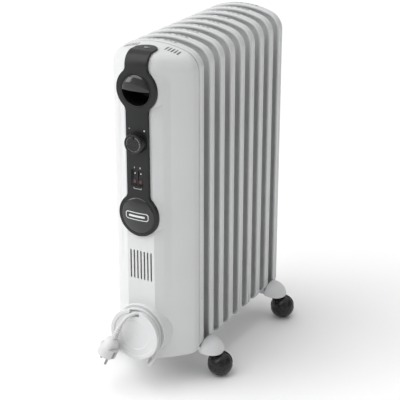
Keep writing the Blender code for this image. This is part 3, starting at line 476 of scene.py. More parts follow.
def cut(mesh, place=ORIGIN, turn=ORIGIN):
    """A step for shaped() that takes a mesh away."""
    return ("DIFFERENCE", mesh, place, turn)


def disc_mesh(radius_bottom, radius_top, low, high, steps=72):
    return turned_mesh("disc", [(0, high), (radius_top, high), (radius_bottom, low), (0, low)], steps)


def tube_mesh(name, points, sides, radii):
    """A round tube along points, with a radius at each and closed ends."""
    points = [Vector(p) for p in points]
    tangent = (points[1] - points[0]).normalized()
    across = tangent.orthogonal().normalized()
    loops = []
    for index, point in enumerate(points):
        ahead = points[min(index + 1, len(points) - 1)]
        behind = points[max(index - 1, 0)]
        tangent = (ahead - behind).normalized()
        across = (across - tangent * across.dot(tangent)).normalized()
        other = tangent.cross(across)
        angles = [2 * math.pi * step / sides for step in range(sides)]
        loops.append([point + (across * math.cos(a) + other * math.sin(a)) * radii[index] for a in angles])
    return loft_mesh(name, loops)


def spline_through(route, spacing):
    """Evenly spread points on the natural cubic through a route's points."""
    points = np.array(route, dtype=float)
    knots = np.concatenate([[0], np.cumsum(np.linalg.norm(np.diff(points, axis=0), axis=1))])
    steps = np.diff(knots)
    slopes = np.diff(points, axis=0) / steps[:, None]
    system = np.eye(len(points))
    bends = np.zeros_like(points)
    for row in range(1, len(points) - 1):
        before, after = steps[row - 1], steps[row]
        system[row, row - 1 : row + 2] = before, 2 * (before + after), after
        bends[row] = 6 * (slopes[row] - slopes[row - 1])
    curvature = np.linalg.solve(system, bends)
    found = []
    for at in np.linspace(0, knots[-1], max(2, round(knots[-1] / spacing)) + 1):
        piece = min(np.searchsorted(knots, at, side="right") - 1, len(steps) - 1)
        width = steps[piece]
        left, right = knots[piece + 1] - at, at - knots[piece]
        ends = curvature[piece] * (left**3 / width - left * width)
        ends = ends + curvature[piece + 1] * (right**3 / width - right * width)
        straight = (points[piece] * left + points[piece + 1] * right) / width
        found.append(tuple(straight + ends / 6))
    return found


# Cord and plug
def ease(share):
    return (1 - math.cos(math.pi * min(1.0, max(0.0, share)))) / 2


def coil_points():
    """Turns wound inward beside the boss, then outward in front of them, ending at the notch."""
    first, last, turn_start, step = -5, 45, -50, 15
    points = []
    angle = first
    while angle <= turn_start + 5 * 360 + last - turn_start + 1e-6:
        laps = (angle - turn_start) / 360
        lap = int(laps)
        share = ease((laps - lap - 0.5) / 0.5)
        if lap < 2:
            radius = COIL_RADII[lap] + (COIL_RADII[lap + 1] - COIL_RADII[lap]) * share
            depth = COIL_DEPTHS[0]
        elif lap == 2:
            radius = COIL_RADII[2]
            depth = COIL_DEPTHS[0] + (COIL_DEPTHS[1] - COIL_DEPTHS[0]) * share
        elif lap < 5:
            inner = 5 - lap
            radius = COIL_RADII[inner] + (COIL_RADII[inner - 1] - COIL_RADII[inner]) * share
            depth = COIL_DEPTHS[1]
        else:
            radius, depth = COIL_RADII[0], COIL_DEPTHS[1]
        turn = math.radians(angle)
        points.append((radius * math.cos(turn), depth, SPOOL_Z + radius * math.sin(turn)))
        angle += step
    return points


def cord_route():
    """The cord's whole centreline, from inside the gland to inside the plug."""
    tip = Vector(GLAND_TIP)
    aim = Vector((0, math.cos(GLAND_LEAN), -math.sin(GLAND_LEAN)))
    route = [tuple(tip - aim * back) for back in (0.009, 0.0045)]
    route += [*LOOP_ROUTE, *coil_points(), *NOTCH_ROUTE, *TAIL_ROUTE[1:]]
    end = front_place(*PLUG_START) + PLUG_AIM * CORD_INTO_PLUG
    places = [front_place(*point) for point in route] + [end]
    return spline_through(places, 0.0025)


def add_cord():
    points = cord_route()
    curve = bpy.data.curves.new("mains_cord", "CURVE")
    curve.dimensions = "3D"
    curve.bevel_depth = CORD_DIAMETER / 2
    curve.bevel_resolution = 4
    curve.use_fill_caps = True
    spline = curve.splines.new("POLY")
    spline.points.add(len(points) - 1)
    for point, place in zip(spline.points, points):
        point.co = (*place, 1)
    spline.use_smooth = True
    curve.materials.append(CORD_WHITE)
    cord = new_object("mains_cord", curve)
    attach(cord, "heater")
    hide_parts("cord_coil", "cord_loop", "cord_tail")
    length = sum((Vector(b) - Vector(a)).length for a, b in zip(points, points[1:]))
    return cord, length


def add_plug():
    """A moulded earthed plug: ribbed relief, round body with side grooves, and two pins."""
    start = front_place(*PLUG_START)
    turn = PLUG_AIM.to_track_quat("Z", "Y").to_euler()
    sheath = [(CORD_DIAMETER / 2 + 0.0001, 0.0002), (0.0042, 0.0004)]
    ribs = 6
    for rib in range(ribs):
        share = rib / ribs
        low = 0.0012 + 0.0268 * share
        radius = 0.0046 + 0.0018 * share
        sheath += [(radius, low), (radius + 0.0002, low + 0.0022)]
        sheath += [(radius - 0.0016, low + 0.0025), (radius - 0.0016, low + 0.0040)]
    body = [
        (0.0064, 0.0285),
        (0.0094, 0.0305),
        (0.0128, 0.0350),
        (0.0140, 0.0420),
        (0.0165, 0.0460),
        (0.0183, 0.0478),
        (0.0185, 0.0490),
        (0.0185, 0.0652),
        (0.0180, PLUG_NOSE),
        (0.0162, PLUG_NOSE),
        (0.0156, 0.0648),
        (0, 0.0648),
    ]
    profile = [(0, 0.0004), *rounded(sheath, 0.0004, 2), *rounded(body, 0.0012, 4)]
    mesh = turned_mesh("plug", profile, 64)
    roll = Matrix.Rotation(PLUG_ROLL, 4, "Z")
    steps = []
    for side in (-1, 1):
        groove = box_mesh("groove", ((0.0080, 0.0046, 0.0230), (0, side * 0.0188, 0.0580)))
        dish = box_mesh("dish", ((0.0300, 0.0060, 0.0160), (0, side * 0.0140, 0.0390)))
        for cutter in (groove, dish):
            cutter.transform(roll)
            steps.append(cut(cutter))
    mesh = shaped("plug", mesh, steps)
    where = {"place": start, "turn": turn}
    pieces = [add_piece("plug_moulding", mesh, CORD_WHITE, "cord_white", replaces=["plug_body"], **where)]
    for side in (-1, 1):
        clip = box_mesh("clip", ((0.0045, 0.0008, 0.0150), (0, side * 0.0166, 0.0570)))
        clip.transform(roll)
        name = f"earth_clip_{'left' if side < 0 else 'right'}"
        pieces.append(add_piece(name, clip, PIN_NICKEL, "pin_nickel", **where))
    deep = PLUG_AIM.cross(PLUG_ACROSS).normalized()
    line = (PLUG_ACROSS * math.cos(PLUG_ROLL) + deep * math.sin(PLUG_ROLL)).normalized()
    turns = [math.radians(angle) for angle in range(0, 91, 15)]
    tip = [(PIN_RADIUS * math.sin(a), PIN_LENGTH - PIN_RADIUS * (1 - math.cos(a))) for a in turns]
    shank = [*tip, (PIN_RADIUS, 0.0004), (0.0034, 0.0002), (0.0034, -0.0010), (0, -0.0010)]
    for number, side in ((1, -1), (2, 1)):
        place = start + PLUG_AIM * PLUG_NOSE + line * (side * PIN_SPACING / 2)
        mesh = turned_mesh("pin", shank, 32)
        node = [f"plug_pin_{number}"]
        pin = add_piece(f"pin_{number}", mesh, PIN_NICKEL, "pin_nickel", "heater", node, place, turn)
        pieces.append(pin)
    return pieces


def gland_frame():
    """Place and turn of the sleeve, where it meets the housing."""
    aim = Vector((0, -math.cos(GLAND_LEAN), -math.sin(GLAND_LEAN)))
    return front_place(*GLAND_TIP) - aim * GLAND_LENGTH, aim.to_track_quat("Z", "Y").to_euler()


def add_gland():
    """The ribbed sleeve where the cord leaves the housing's underside."""
    profile = [(0, 0.0119), (CORD_DIAMETER / 2 + 0.0003, 0.0119)]
    for rib in range(4):
        top = 0.0115 - rib * 0.0030
        radius = 0.0046 + rib * 0.0004
        profile += [(radius, top), (radius + 0.0001, top - 0.0019)]
        profile += [(radius - 0.0007, top - 0.0022), (radius - 0.0007, top - 0.0028)]
    profile += [(0.0060, -0.0008), (0.0060, -0.0055), (0, -0.0055)]
    mesh = turned_mesh("gland", rounded(profile, 0.0003, 2), 48)
    add_piece("cord_sleeve", mesh, CORD_WHITE, "cord_white", "heater", ["cord_gland"], *gland_frame())


cord, cord_length = add_cord()
plug_pieces = add_plug()
add_gland()


# Fins and oil circuit
def shoulder_centre(half, top, corner):
    """Centre (x, z) of the round shoulder beside an arched top."""
    x = half - corner
    return x, top - FIN_CROWN_RADIUS + math.sqrt((FIN_CROWN_RADIUS - corner) ** 2 - x**2)


def crowned_outline(half, bottom, top, corner, foot, inset=0.0, fine=1):
    """An upright outline (x, z) with round feet, round shoulders and an arched top."""
    shoulder = shoulder_centre(half, top, corner)
    tilt = math.degrees(math.asin(shoulder[0] / (FIN_CROWN_RADIUS - corner)))
    right = arc((half - foot, bottom + foot), foot - inset, -90, 0, 4 * fine + 1)
    right += arc(shoulder, corner - inset, 0, 90 - tilt, 8 * fine + 1)
    middle = (0, top - FIN_CROWN_RADIUS)
    crown = arc(middle, FIN_CROWN_RADIUS - inset, 90 - tilt, 90 + tilt, 10 * fine + 1)
    left = [(-x, z) for x, z in reversed(right)]
    return right + crown[1:-1] + left


def fin_outline(inset, fine=1):
    return crowned_outline(FIN_HALF, FIN_BOTTOM, FIN_TOP, FIN_CORNER_RADIUS, FIN_FOOT_RADIUS, inset, fine)


def fin_rim_mesh():
    """The folded rim round a fin: round lips, with rows of slots through its crown."""
    lip, middle = 0.0019, FIN_DEPTH / 2
    turns = np.linspace(math.pi / 2, 0, 6)
    rear = [(0.0003, middle), (0, middle + 0.0006)]
    rear += [(lip - lip * math.sin(a), FIN_DEPTH - lip + lip * math.cos(a)) for a in turns]
    rear += [(lip + 0.0022, FIN_DEPTH), (lip + 0.0026, FIN_DEPTH - 0.0005)]
    rear += [(lip + 0.0022, FIN_DEPTH - 0.0010), (FLANGE_WALL, FIN_DEPTH - 0.0022)]
    front = [(inset, FIN_DEPTH - depth) for inset, depth in reversed(rear[1:])]
    loops = [[(x, depth, z) for x, z in fin_outline(inset, 2)] for inset, depth in rear + front]
    rim = loft_mesh("fin_rim", loops, closed=True)
    slots = []
    for start in (-0.0250, 0.0100):
        for index in range(3):
            centre = (start + index * 0.0096, middle + 0.0034, FIN_TOP - 0.002)
            slots.append(((0.0070, 0.0046, 0.012), centre))
    return shaped("fin_rim", rim, [cut(box_mesh("slots", *slots))])


def outline_heights(x, inset):
    """Lowest and highest z of the fin's inset outline at x."""
    foot, corner = FIN_FOOT_RADIUS, FIN_CORNER_RADIUS
    across = abs(x)
    low = FIN_BOTTOM + inset
    beyond = across - (FIN_HALF - foot)
    if beyond > 0:
        low = FIN_BOTTOM + foot - math.sqrt(max(0.0, (foot - inset) ** 2 - beyond**2))
    crown_z = FIN_TOP - FIN_CROWN_RADIUS
    shoulder_x, shoulder_z = shoulder_centre(FIN_HALF, FIN_TOP, corner)
    touch_x = shoulder_x * FIN_CROWN_RADIUS / (FIN_CROWN_RADIUS - corner)
    if across < touch_x:
        high = crown_z + math.sqrt((FIN_CROWN_RADIUS - inset) ** 2 - across**2)
    else:
        high = shoulder_z + math.sqrt(max(0.0, (corner - inset) ** 2 - (across - shoulder_x) ** 2))
    return low, high


def smooth_step(value, low, high):
    share = min(1.0, max(0.0, (value - low) / (high - low)))
    return share * share * (3 - 2 * share)


def stadium(x, z, centre_x, low, high, half):
    """1 inside an upright oil channel with round ends, falling to 0 over its sloped edge."""
    away = math.hypot(x - centre_x, z - min(high, max(low, z)))
    return 1 - smooth_step(away, half - 0.0030, half + 0.0012)


def web_height(x, z):
    """How far the pressed sheet stands off the fin's middle plane."""
    rise = 0.0
    for centre_x in (-0.054, -0.018, 0.018, 0.054):
        rise = max(rise, stadium(x, z, centre_x, 0.128, 0.604, 0.0110))
    for header_z in (LOWER_HEADER_Z, UPPER_HEADER_Z):
        away = math.hypot(max(0.0, abs(x) - 0.052), z - header_z)
        rise = max(rise, 1 - smooth_step(away, 0.0105, 0.0150))
        rise = max(rise, 1.35 * (1 - smooth_step(math.hypot(x, z - header_z), 0.022, 0.028)))
    return 0.0016 + 0.0030 * rise


def fin_web_mesh():
    """Two pressed sheets back to back, closed round their edge."""
    edge = FIN_HALF - 0.0012
    xs = np.linspace(-edge, edge, 97)
    low_rows, high_rows = np.linspace(0, 0.18, 30)[:-1], np.linspace(0.84, 1, 34)
    rows = np.concatenate([low_rows, np.linspace(0.18, 0.84, 12)[:-1], high_rows])
    bm = bmesh.new()
    grids = []
    for side in (-1, 1):
        grid = []
        for x in xs:
            low, high = outline_heights(x, 0.0012)
            column = []
            for row in rows:
                z = low + (high - low) * row
                column.append(bm.verts.new((x, FIN_DEPTH / 2 + side * web_height(x, z), z)))
            grid.append(column)
        grids.append(grid)
        for a, b in zip(grid, grid[1:]):
            for index in range(len(rows) - 1):
                bm.faces.new((a[index], b[index], b[index + 1], a[index + 1]))
    first, second = grids
    ring = [(column, 0) for column in range(len(xs))]
    ring += [(len(xs) - 1, row) for row in range(1, len(rows))]
    ring += [(column, len(rows) - 1) for column in range(len(xs) - 2, -1, -1)]
    ring += [(0, row) for row in range(len(rows) - 2, 0, -1)]
    for here, there in zip(ring, ring[1:] + ring[:1]):
        corners = (first[here[0]][here[1]], first[there[0]][there[1]])
        bm.faces.new((*corners, second[there[0]][there[1]], second[here[0]][here[1]]))
    return mesh_from(bm, "fin_web")


def joined(name, *meshes):
    bm = bmesh.new()
    for mesh in meshes:
        bm.from_mesh(mesh)
    mesh = bpy.data.meshes.new(name)
    bm.to_mesh(mesh)
    bm.free()
    return mesh


def add_fins():
    mesh = joined("fin", fin_rim_mesh(), fin_web_mesh())
    mesh.materials.append(FIN_PAINT)
    for number in range(1, FIN_COUNT + 1):
        place = (0, FIRST_FIN_FRONT + (number - 1) * FIN_PITCH, 0)
        node = [f"fin_{number}"]
        add_piece(f"fin_panel_{number}", mesh, FIN_PAINT, "fin_paint", replaces=node, place=place, angle=38)


def moved(mesh, offset):
    copy = mesh.copy()
    copy.transform(Matrix.Translation(offset))
    return copy


def header_mesh(front_depth):
    """An oil tube along the stack, waisted in every gap between two fins."""
    rear_depth, bore, waist = -0.3365, 0.013, HEADER_RADIUS - 0.0012
    profile = [(bore, front_depth), (HEADER_RADIUS, front_depth)]
    for number in range(FIN_COUNT - 1):
        front = -(FIN_START + FIN_DEPTH) - number * FIN_PITCH
        back = front - (FIN_PITCH - FIN_DEPTH)
        profile += [(HEADER_RADIUS, front - 0.0065), (waist, front - 0.0078)]
        profile += [(waist, back + 0.0078), (HEADER_RADIUS, back + 0.0065)]
    profile += [(HEADER_RADIUS, rear_depth), (0, rear_depth)]
    profile += [(0, rear_depth + 0.003), (bore, rear_depth + 0.003)]
    return turned_mesh("header", rounded(profile, 0.0008, 2, True), 48, closed=True)


def add_headers():
    """The two oil tubes, with a weld bead on both sides of every fin."""
    bead = [(HEADER_RADIUS + 0.0005 + r, h) for r, h in arc((0, 0), 0.0013, 0, 360, 13)[:-1]]
    for name, z, front_depth in (("lower", LOWER_HEADER_Z, 0.0040), ("upper", UPPER_HEADER_Z, -0.0065)):
        tube, node = f"{name}_header_tube", [f"{name}_oil_header"]
        add_front_piece(tube, header_mesh(front_depth), HEADER_PAINT, "header_steel", z, node)
        for number in range(FIN_COUNT):
            centre = front_place(0, -(FIN_START + FIN_DEPTH / 2) - number * FIN_PITCH, z)
            ring = turned_mesh("bead", bead, 40, closed=True)
            both = joined("beads", *[moved(ring, (0, 0, side * 0.0058)) for side in (-1, 1)])
            weld = f"{name}_weld_{number + 1}"
            add_piece(weld, both, HEADER_PAINT, "header_steel", place=centre, turn=FACING_FRONT)


# Housing
def housing_top(depth):
    """Height of the housing's top along its middle, at a depth forward of the seam."""
    height = HOUSING_TOP - TOP_SLOPE * min(depth, BROW_START)
    run = max(0.0, depth - BROW_START) / (HOUSING_DEPTH - BROW_START)
    return height - BROW_DROP * (1 - math.sqrt(max(0.0, 1 - run**2)))


def housing_plan(steps):
    """Half widths of the housing with their depths, from the seam to the flat front."""
    start, pull, end = (0.0825, 0.0165), (0.066, 0.041), (HOUSING_FLAT_HALF, HOUSING_DEPTH)
    plan = [(FIN_HALF - 0.0006, 0.0), (FIN_HALF, 0.0006)]
    plan += [(FIN_HALF, STRAIGHT_SIDE - 0.0010), (FIN_HALF - 0.0002, STRAIGHT_SIDE), (0.0843, 0.0135)]
    for step in range(steps + 1):
        t = math.sin(math.radians(90 * step / steps))
        weights = ((1 - t) ** 2, 2 * t * (1 - t), t * t)
        plan.append(tuple(np.dot(weights, (start, pull, end))))
    return plan


def housing_loops(inset, steps, fine):
    loops = []
    for half, depth in housing_plan(steps):
        width = half - inset * 1.4
        corner = min(FIN_CORNER_RADIUS, 0.62 * width)
        low, high = HOUSING_BOTTOM + inset, housing_top(depth) - inset
        outline = crowned_outline(width, low, high, corner, 0.006, 0, fine)
        shift = inset * depth / HOUSING_DEPTH
        if inset and depth == 0:
            shift = 0.004
        loops.append([front_place(x, depth - shift, z) for x, z in outline])
    return loops


def boss_meshes(inset):
    """Round pads behind the two discs and the spool, with their places."""
    back = 0.030
    meshes = []
    for z in (HANDLE_Z, BADGE_Z):
        front = DISC_RADIUS + 0.0015 - inset
        mesh = disc_mesh(front + 0.58 * (HOUSING_DEPTH - back), front, back, HOUSING_DEPTH - inset, 96)
        meshes.append((mesh, front_place(0, 0, z)))
    front = SPOOL_RADIUS + 0.0005 - inset
    face = SPOOL_BOSS_FRONT - inset
    profile = [(0, face), (front - 0.0008, face), (front, face - 0.0008)]
    mesh = turned_mesh("spool_boss", [*profile, (front + 0.0055, back), (0, back)], 96)
    meshes.append((mesh, front_place(0, 0, SPOOL_Z)))
    return meshes


def front_hole(radius, z, back, sides):
    """A round hole through the front at a height, from a depth outward."""
    return cut(disc_mesh(radius, radius, back, 0.090, sides), front_place(0, 0, z), FACING_FRONT)


def window_hole(front):
    """The opening for the two rockers, through a wall at a depth."""
    block = box_mesh("window", ((*WINDOW, 0.04), ORIGIN))
    return cut(block, front_place(0, front, SWITCH_Z), FACING_FRONT)


def vent_slot(length, reach):
    outline = rounded_rectangle(VENT_WIDTH, length, VENT_WIDTH / 2 - 0.0001, count=5)
    return slab_mesh("vent", outline, -reach, reach)


def vent_cuts():
    """Seven upright slots in the front, and five on either side of the strip in the top."""
    cuts = []
    for index in range(-3, 4):
        place = front_place(index * FRONT_VENT_PITCH, HOUSING_DEPTH, FRONT_VENT_Z)
        cuts.append(cut(vent_slot(FRONT_VENT_HEIGHT, 0.006), place, FACING_FRONT))
    for side in (-1, 1):
        for index in range(5):
            x = side * (TOP_VENT_START + TOP_VENT_PITCH * index)
            place = front_place(x, TOP_VENT_DEPTH, TOP_VENT_Z)
            cuts.append(cut(vent_slot(TOP_VENT_LENGTH, 0.015), place))
    return cuts


def add_housing():
    """The white shell: lofted, padded, hollowed, then opened for what passes through it."""
    steps = [("UNION", mesh, place, FACING_FRONT) for mesh, place in boss_meshes(0)]
    steps.append(cut(loft_mesh("cavity", housing_loops(HOUSING_WALL, 8, 1))))
    steps += [cut(mesh, place, FACING_FRONT) for mesh, place in boss_meshes(HOUSING_WALL)]
    steps += [front_hole(GRIP_HOLE, HANDLE_Z, 0.045, 64), front_hole(SHAFT_HOLE, KNOB_Z, 0.045, 64)]
    steps += [window_hole(HOUSING_DEPTH), *vent_cuts()]
    steps.append(cut(disc_mesh(GLAND_HOLE, GLAND_HOLE, -0.02, 0.02, 32), *gland_frame()))
    mesh = shaped("housing_shell", loft_mesh("shell", housing_loops(0, 22, 2)), steps)
    add_piece("housing_shell", mesh, SHELL_WHITE, "white_plastic", replaces=["housing"], angle=28)


# Control strip
def strip_half_width(z):
    """Half width of the strip on the flat front, where it swells into two discs."""
    reach = 0.0
    for centre in (BADGE_Z, HANDLE_Z):
        away = abs(z - centre)
        fillet_x = STRIP_HALF + DISC_FILLET
        fillet_z = math.sqrt((DISC_RADIUS + DISC_FILLET) ** 2 - fillet_x**2)
        touch = fillet_z * DISC_RADIUS / (DISC_RADIUS + DISC_FILLET)
        if away <= touch or (centre == BADGE_Z and z < centre):
            reach = math.sqrt(max(0.0, DISC_RADIUS**2 - away**2))
        elif away < fillet_z:
            reach = fillet_x - math.sqrt(DISC_FILLET**2 - (fillet_z - away) ** 2)
    return reach or STRIP_HALF


def strip_heights():
    """Heights of the sections on the flat front, close together around each disc."""
    top = HOUSING_TOP - TOP_SLOPE * BROW_START - BROW_DROP
    low = [BADGE_Z + DISC_RADIUS * math.sin(math.radians(angle)) for angle in range(-90, 51, 3)]
    low[0] += 0.00005
    around = [HANDLE_Z + DISC_RADIUS * math.sin(math.radians(angle)) for angle in range(-50, 51, 3)]
    fillet = list(np.linspace(0.0325, 0.0409, 7))
    heights = low + [BADGE_Z + rise for rise in fillet]
    heights += [HANDLE_Z - rise for rise in reversed(fillet)] + around
    heights += [HANDLE_Z + rise for rise in fillet] + [top]
    return sorted(heights)


def strip_sections():
    """(depth, height, normal, half width, lift) along the middle of the strip."""
    sections = [(HOUSING_DEPTH, z, (1, 0), strip_half_width(z), STRIP_LIFT) for z in strip_heights()]
    brow = HOUSING_DEPTH - BROW_START
    brow_z = HOUSING_TOP - TOP_SLOPE * BROW_START
    bends = 18
    for step in range(1, bends + 1):
        turn = math.radians(90 * step / bends)
        normal = Vector((math.cos(turn) / brow, math.sin(turn) / BROW_DROP)).normalized()
        depth = BROW_START + brow * math.cos(turn)
        z = brow_z - BROW_DROP * (1 - math.sin(turn))
        sections.append((depth, z, normal, STRIP_HALF, STRIP_LIFT - 0.0044 * step / bends))
    middle = STRIP_TIP + STRIP_TIP_RADIUS
    slope_normal = Vector((TOP_SLOPE, 1)).normalized()
    for step in range(1, 16):
        turn = math.radians(90 * step / 15)
        depth = middle - STRIP_TIP_RADIUS * math.sin(turn) + (0.00005 if step == 15 else 0)
        half = min(STRIP_HALF, math.sqrt(max(1e-9, STRIP_TIP_RADIUS**2 - (middle - depth) ** 2)))
        lift = STRIP_TIP_LIFT + 0.0012 * (depth - STRIP_TIP) / (0.046 - STRIP_TIP)
        sections.append((depth, HOUSING_TOP - TOP_SLOPE * depth, slope_normal, half, lift))
    return sections


def add_strip():
    """The dark panel that runs down the front and over the top of the housing."""
    loops = []
    for depth, z, normal, half, lift in strip_sections():
        edge = min(0.0012, lift * 0.45, half * 0.5)
        turns = [math.radians(angle) for angle in range(0, 91, 18)]
        right = [(half - edge + edge * math.cos(a), lift - edge + edge * math.sin(a)) for a in turns]
        corners = [(half, 0.0001), *right, *[(-x, out) for x, out in reversed(right)], (-half, 0.0001)]
        loops.append([front_place(x, depth + normal[0] * out, z + normal[1] * out) for x, out in corners])
    steps = [front_hole(GRIP_HOLE, HANDLE_Z, 0.060, 96), front_hole(SHAFT_HOLE, KNOB_Z, 0.060, 96)]
    steps.append(front_hole(BADGE_RADIUS + 0.0003, BADGE_Z, 0.0715, 96))
    outer, inner, floor = KNOB_RADIUS + 0.0032, KNOB_RADIUS + 0.0024, STRIP_FRONT - 0.0004
    section = [(outer, 0.09), (outer, floor), (inner, floor), (inner, 0.09)]
    groove = turned_mesh("groove", section, 72, closed=True)
    steps.append(cut(groove, front_place(0, 0, KNOB_Z), FACING_FRONT))
    steps.append(window_hole(STRIP_FRONT))
    mesh = shaped("panel", loft_mesh("panel", loops), steps)
    add_piece("control_panel", mesh, PANEL_DARK, "dark_plastic", replaces=["control_strip"], angle=30)


def add_handle():
    """A deep round finger cup, half covered by a glossy domed grip."""
    outer, inner = GRIP_HOLE - 0.0004, GRIP_HOLE - 0.0024
    front = STRIP_FRONT + 0.0004
    back, floor = 0.030, 0.032
    cup = [(inner, front), (outer, front), (outer, back), (0, back)]
    cup += [(0, floor), (inner - 0.006, floor), (inner, 0.039)]
    mesh = turned_mesh("cup", rounded(cup, 0.0007, 3, True), 96, closed=True)
    add_front_piece("finger_cup", mesh, CUP_BLACK, "dark_plastic", HANDLE_Z, ["handle_cup"])
    edge, crown, back = inner - 0.0004, 0.0810, 0.0640
    turns = [math.radians(a) for a in range(0, 91, 6)]
    dome = [(edge * math.sin(a), STRIP_FRONT + (crown - STRIP_FRONT) * math.cos(a)) for a in turns]
    mesh = turned_mesh("grip", [*dome, (edge, back), (0, back)], 96)
    lower = box_mesh("lower_half", ((0.08, 0.04, 0.06), (0, -0.0199, 0.072)))
    mesh = shaped("grip", mesh, [cut(lower)], bevel=0.0009)
    add_front_piece("grip_dome", mesh, GLOSS_BLACK, "gloss_black", HANDLE_Z, ["handle_grip"])


def badge_arc(lift, reach, count):
    """Points (radius, depth) on the badge's dome, raised by a lift, from its middle out."""
    ball = (BADGE_RADIUS**2 + BADGE_SAG**2) / (2 * BADGE_SAG)
    spread = math.asin(reach / ball)
    turns = [spread * step / (count - 1) for step in range(count)]
    return [((ball + lift) * math.sin(a), BADGE_APEX - ball + (ball + lift) * math.cos(a)) for a in turns]


def add_badge():
    """A domed gloss insert with a plain bar across it."""
    back = BADGE_APEX - 0.0072
    dome = badge_arc(0, BADGE_RADIUS - 0.0006, 18)
    profile = [*dome, (BADGE_RADIUS, dome[-1][1] - 0.0006), (BADGE_RADIUS, back), (0, back)]
    mesh = turned_mesh("badge", profile, 96)
    add_front_piece("badge_dome", mesh, GLOSS_BLACK, "gloss_black", BADGE_Z, ["badge_disc"])
    skin = badge_arc(0.0009, 0.028, 14) + list(reversed(badge_arc(0.0001, 0.028, 14)))
    outline = slab_mesh("outline", rounded_rectangle(0.0480, 0.0150, 0.0052), 0.06, 0.10)
    window = slab_mesh("window", rounded_rectangle(0.0452, 0.0122, 0.0042), 0.05, 0.11)
    line = slab_mesh("line", rounded_rectangle(0.0340, 0.0036, 0.0016), 0.06, 0.10)
    mask = shaped("mask", outline, [cut(window), ("UNION", line, ORIGIN, ORIGIN)])
    bar = turned_mesh("bar", skin, 96, closed=True)
    mesh = shaped("bar", mask, [("INTERSECT", bar, ORIGIN, ORIGIN)])
    add_front_piece("badge_plate", mesh, BAR_SILVER, "badge_silver", BADGE_Z, ["badge_bar"])


# Dial, rockers and printed marks
def knob_mesh():
    """The dial: a shallow dish inside a raised edge, and a finely fluted skirt."""
    base, dish = STRIP_FRONT + 0.0005, KNOB_FRONT - 0.0011
    crown = [(0, dish), (0.0120, dish), (0.0152, KNOB_FRONT - 0.0004), (0.0166, KNOB_FRONT)]
    skirt = [(0.0180, KNOB_FRONT - 0.0002), (0.0188, KNOB_FRONT - 0.0030), (0.0190, base + 0.002)]
    skirt += [(0.0198, base), (0.0033, base)]
    profile = rounded([*crown, *skirt], 0.0006, 4) + [(0.0033, 0.0833), (0, 0.0833)]
    mesh = turned_mesh("knob", profile, 120)
    flutes, deepest = 40, 0.010
    for vertex in mesh.vertices:
        radius = math.hypot(vertex.co.x, vertex.co.y)
        if radius > 0.0184 and vertex.co.z < KNOB_FRONT - 0.0020:
            turn = math.atan2(vertex.co.y, vertex.co.x)
            share = 1 - deepest * (0.5 + 0.5 * math.cos(turn * flutes))
            vertex.co.x *= share
            vertex.co.y *= share
    return mesh


def dial_ring_mesh():
    """Printed dashes round the dial, wider towards the hot end."""
    dashes = []
    count, low, high = 30, KNOB_FRONT - 0.0016, KNOB_FRONT - 0.0007
    for index in range(count):
        turn = math.radians(112 + 316 * index / (count - 1))
        wide = 0.0004 + 0.0005 * index / count
        outline = rounded_rectangle(0.0022, wide, 0.00015, (0.0141, 0), 3)
        dash = slab_mesh("dash", outline, low, high, 0.00005, 1)
        dash.transform(Matrix.Rotation(turn, 4, "Z"))
        dashes.append(dash)
    return joined("dial_ring", *dashes)


def add_knob():
    add_front_piece("dial_knob", knob_mesh(), KNOB_DARK, "dark_plastic", KNOB_Z, ["thermostat_knob"], "knob")
    low, high = KNOB_FRONT - 0.0014, KNOB_FRONT + 0.0006
    rib = slab_mesh("pointer", rounded_rectangle(0.0016, 0.0060, 0.0007), low, high, 0.0003)
    rib.transform(Matrix.Translation((0, 0.0118, 0)))
    add_front_piece("dial_pointer", rib, KNOB_DARK, "dark_plastic", KNOB_Z, (), "knob")
    add_front_piece("dial_ring", dial_ring_mesh(), PRINT_WHITE, "badge_silver", KNOB_Z, (), "knob", 0)


def mark(name, width, height, x, z, radius=0.0002):
    """A thin print on the control panel."""
    mesh = slab_mesh(name, rounded_rectangle(width, height, radius), -0.0002, 0.00025, 0.00005, 1)
    place = front_place(x, STRIP_FRONT, z)
    add_piece(name, mesh, PRINT_WHITE, "badge_silver", place=place, turn=FACING_FRONT, angle=0)


def add_marks():
    """Small symbols above the dial, marks at the rockers, and a ringed dot on top of the strip."""
    mark("frost_mark_across", 0.0030, 0.0005, -0.0150, KNOB_Z + 0.0245)
    mark("frost_mark_up", 0.0005, 0.0030, -0.0150, KNOB_Z + 0.0245)
    mark("heat_mark", 0.0026, 0.0026, 0.0160, KNOB_Z + 0.0240, 0.0012)
    top, bottom = SWITCH_Z + WINDOW[1] / 2, SWITCH_Z - WINDOW[1] / 2
    mark("low_power_mark", 0.0008, 0.0030, -0.0060, top + 0.0042)
    mark("high_power_mark_1", 0.0008, 0.0030, 0.0052, top + 0.0042)
    mark("high_power_mark_2", 0.0008, 0.0030, 0.0068, top + 0.0042)
    mark("power_bracket", 0.0160, 0.0006, 0, bottom - 0.0052)
    mark("power_bracket_end_1", 0.0006, 0.0026, -0.0077, bottom - 0.0040)
    mark("power_bracket_end_2", 0.0006, 0.0026, 0.0077, bottom - 0.0040)
    symbol_depth = 0.034
    place = front_place(0, symbol_depth, HOUSING_TOP - TOP_SLOPE * symbol_depth + 0.0017)
    turn = (-math.atan(TOP_SLOPE), 0, 0)
    rim = [(0.0046, 0.0003), (0.0046, -0.0004), (0.0040, -0.0004), (0.0040, 0.0003)]
    ring = turned_mesh("rim", rim, 48, closed=True)
    dot = disc_mesh(0.0013, 0.0013, -0.0004, 0.0003, 24)
    for name, mesh in (("top_symbol_ring", ring), ("top_symbol_dot", dot)):
        add_piece(name, mesh, PRINT_WHITE, "badge_silver", place=place, turn=turn, angle=0)


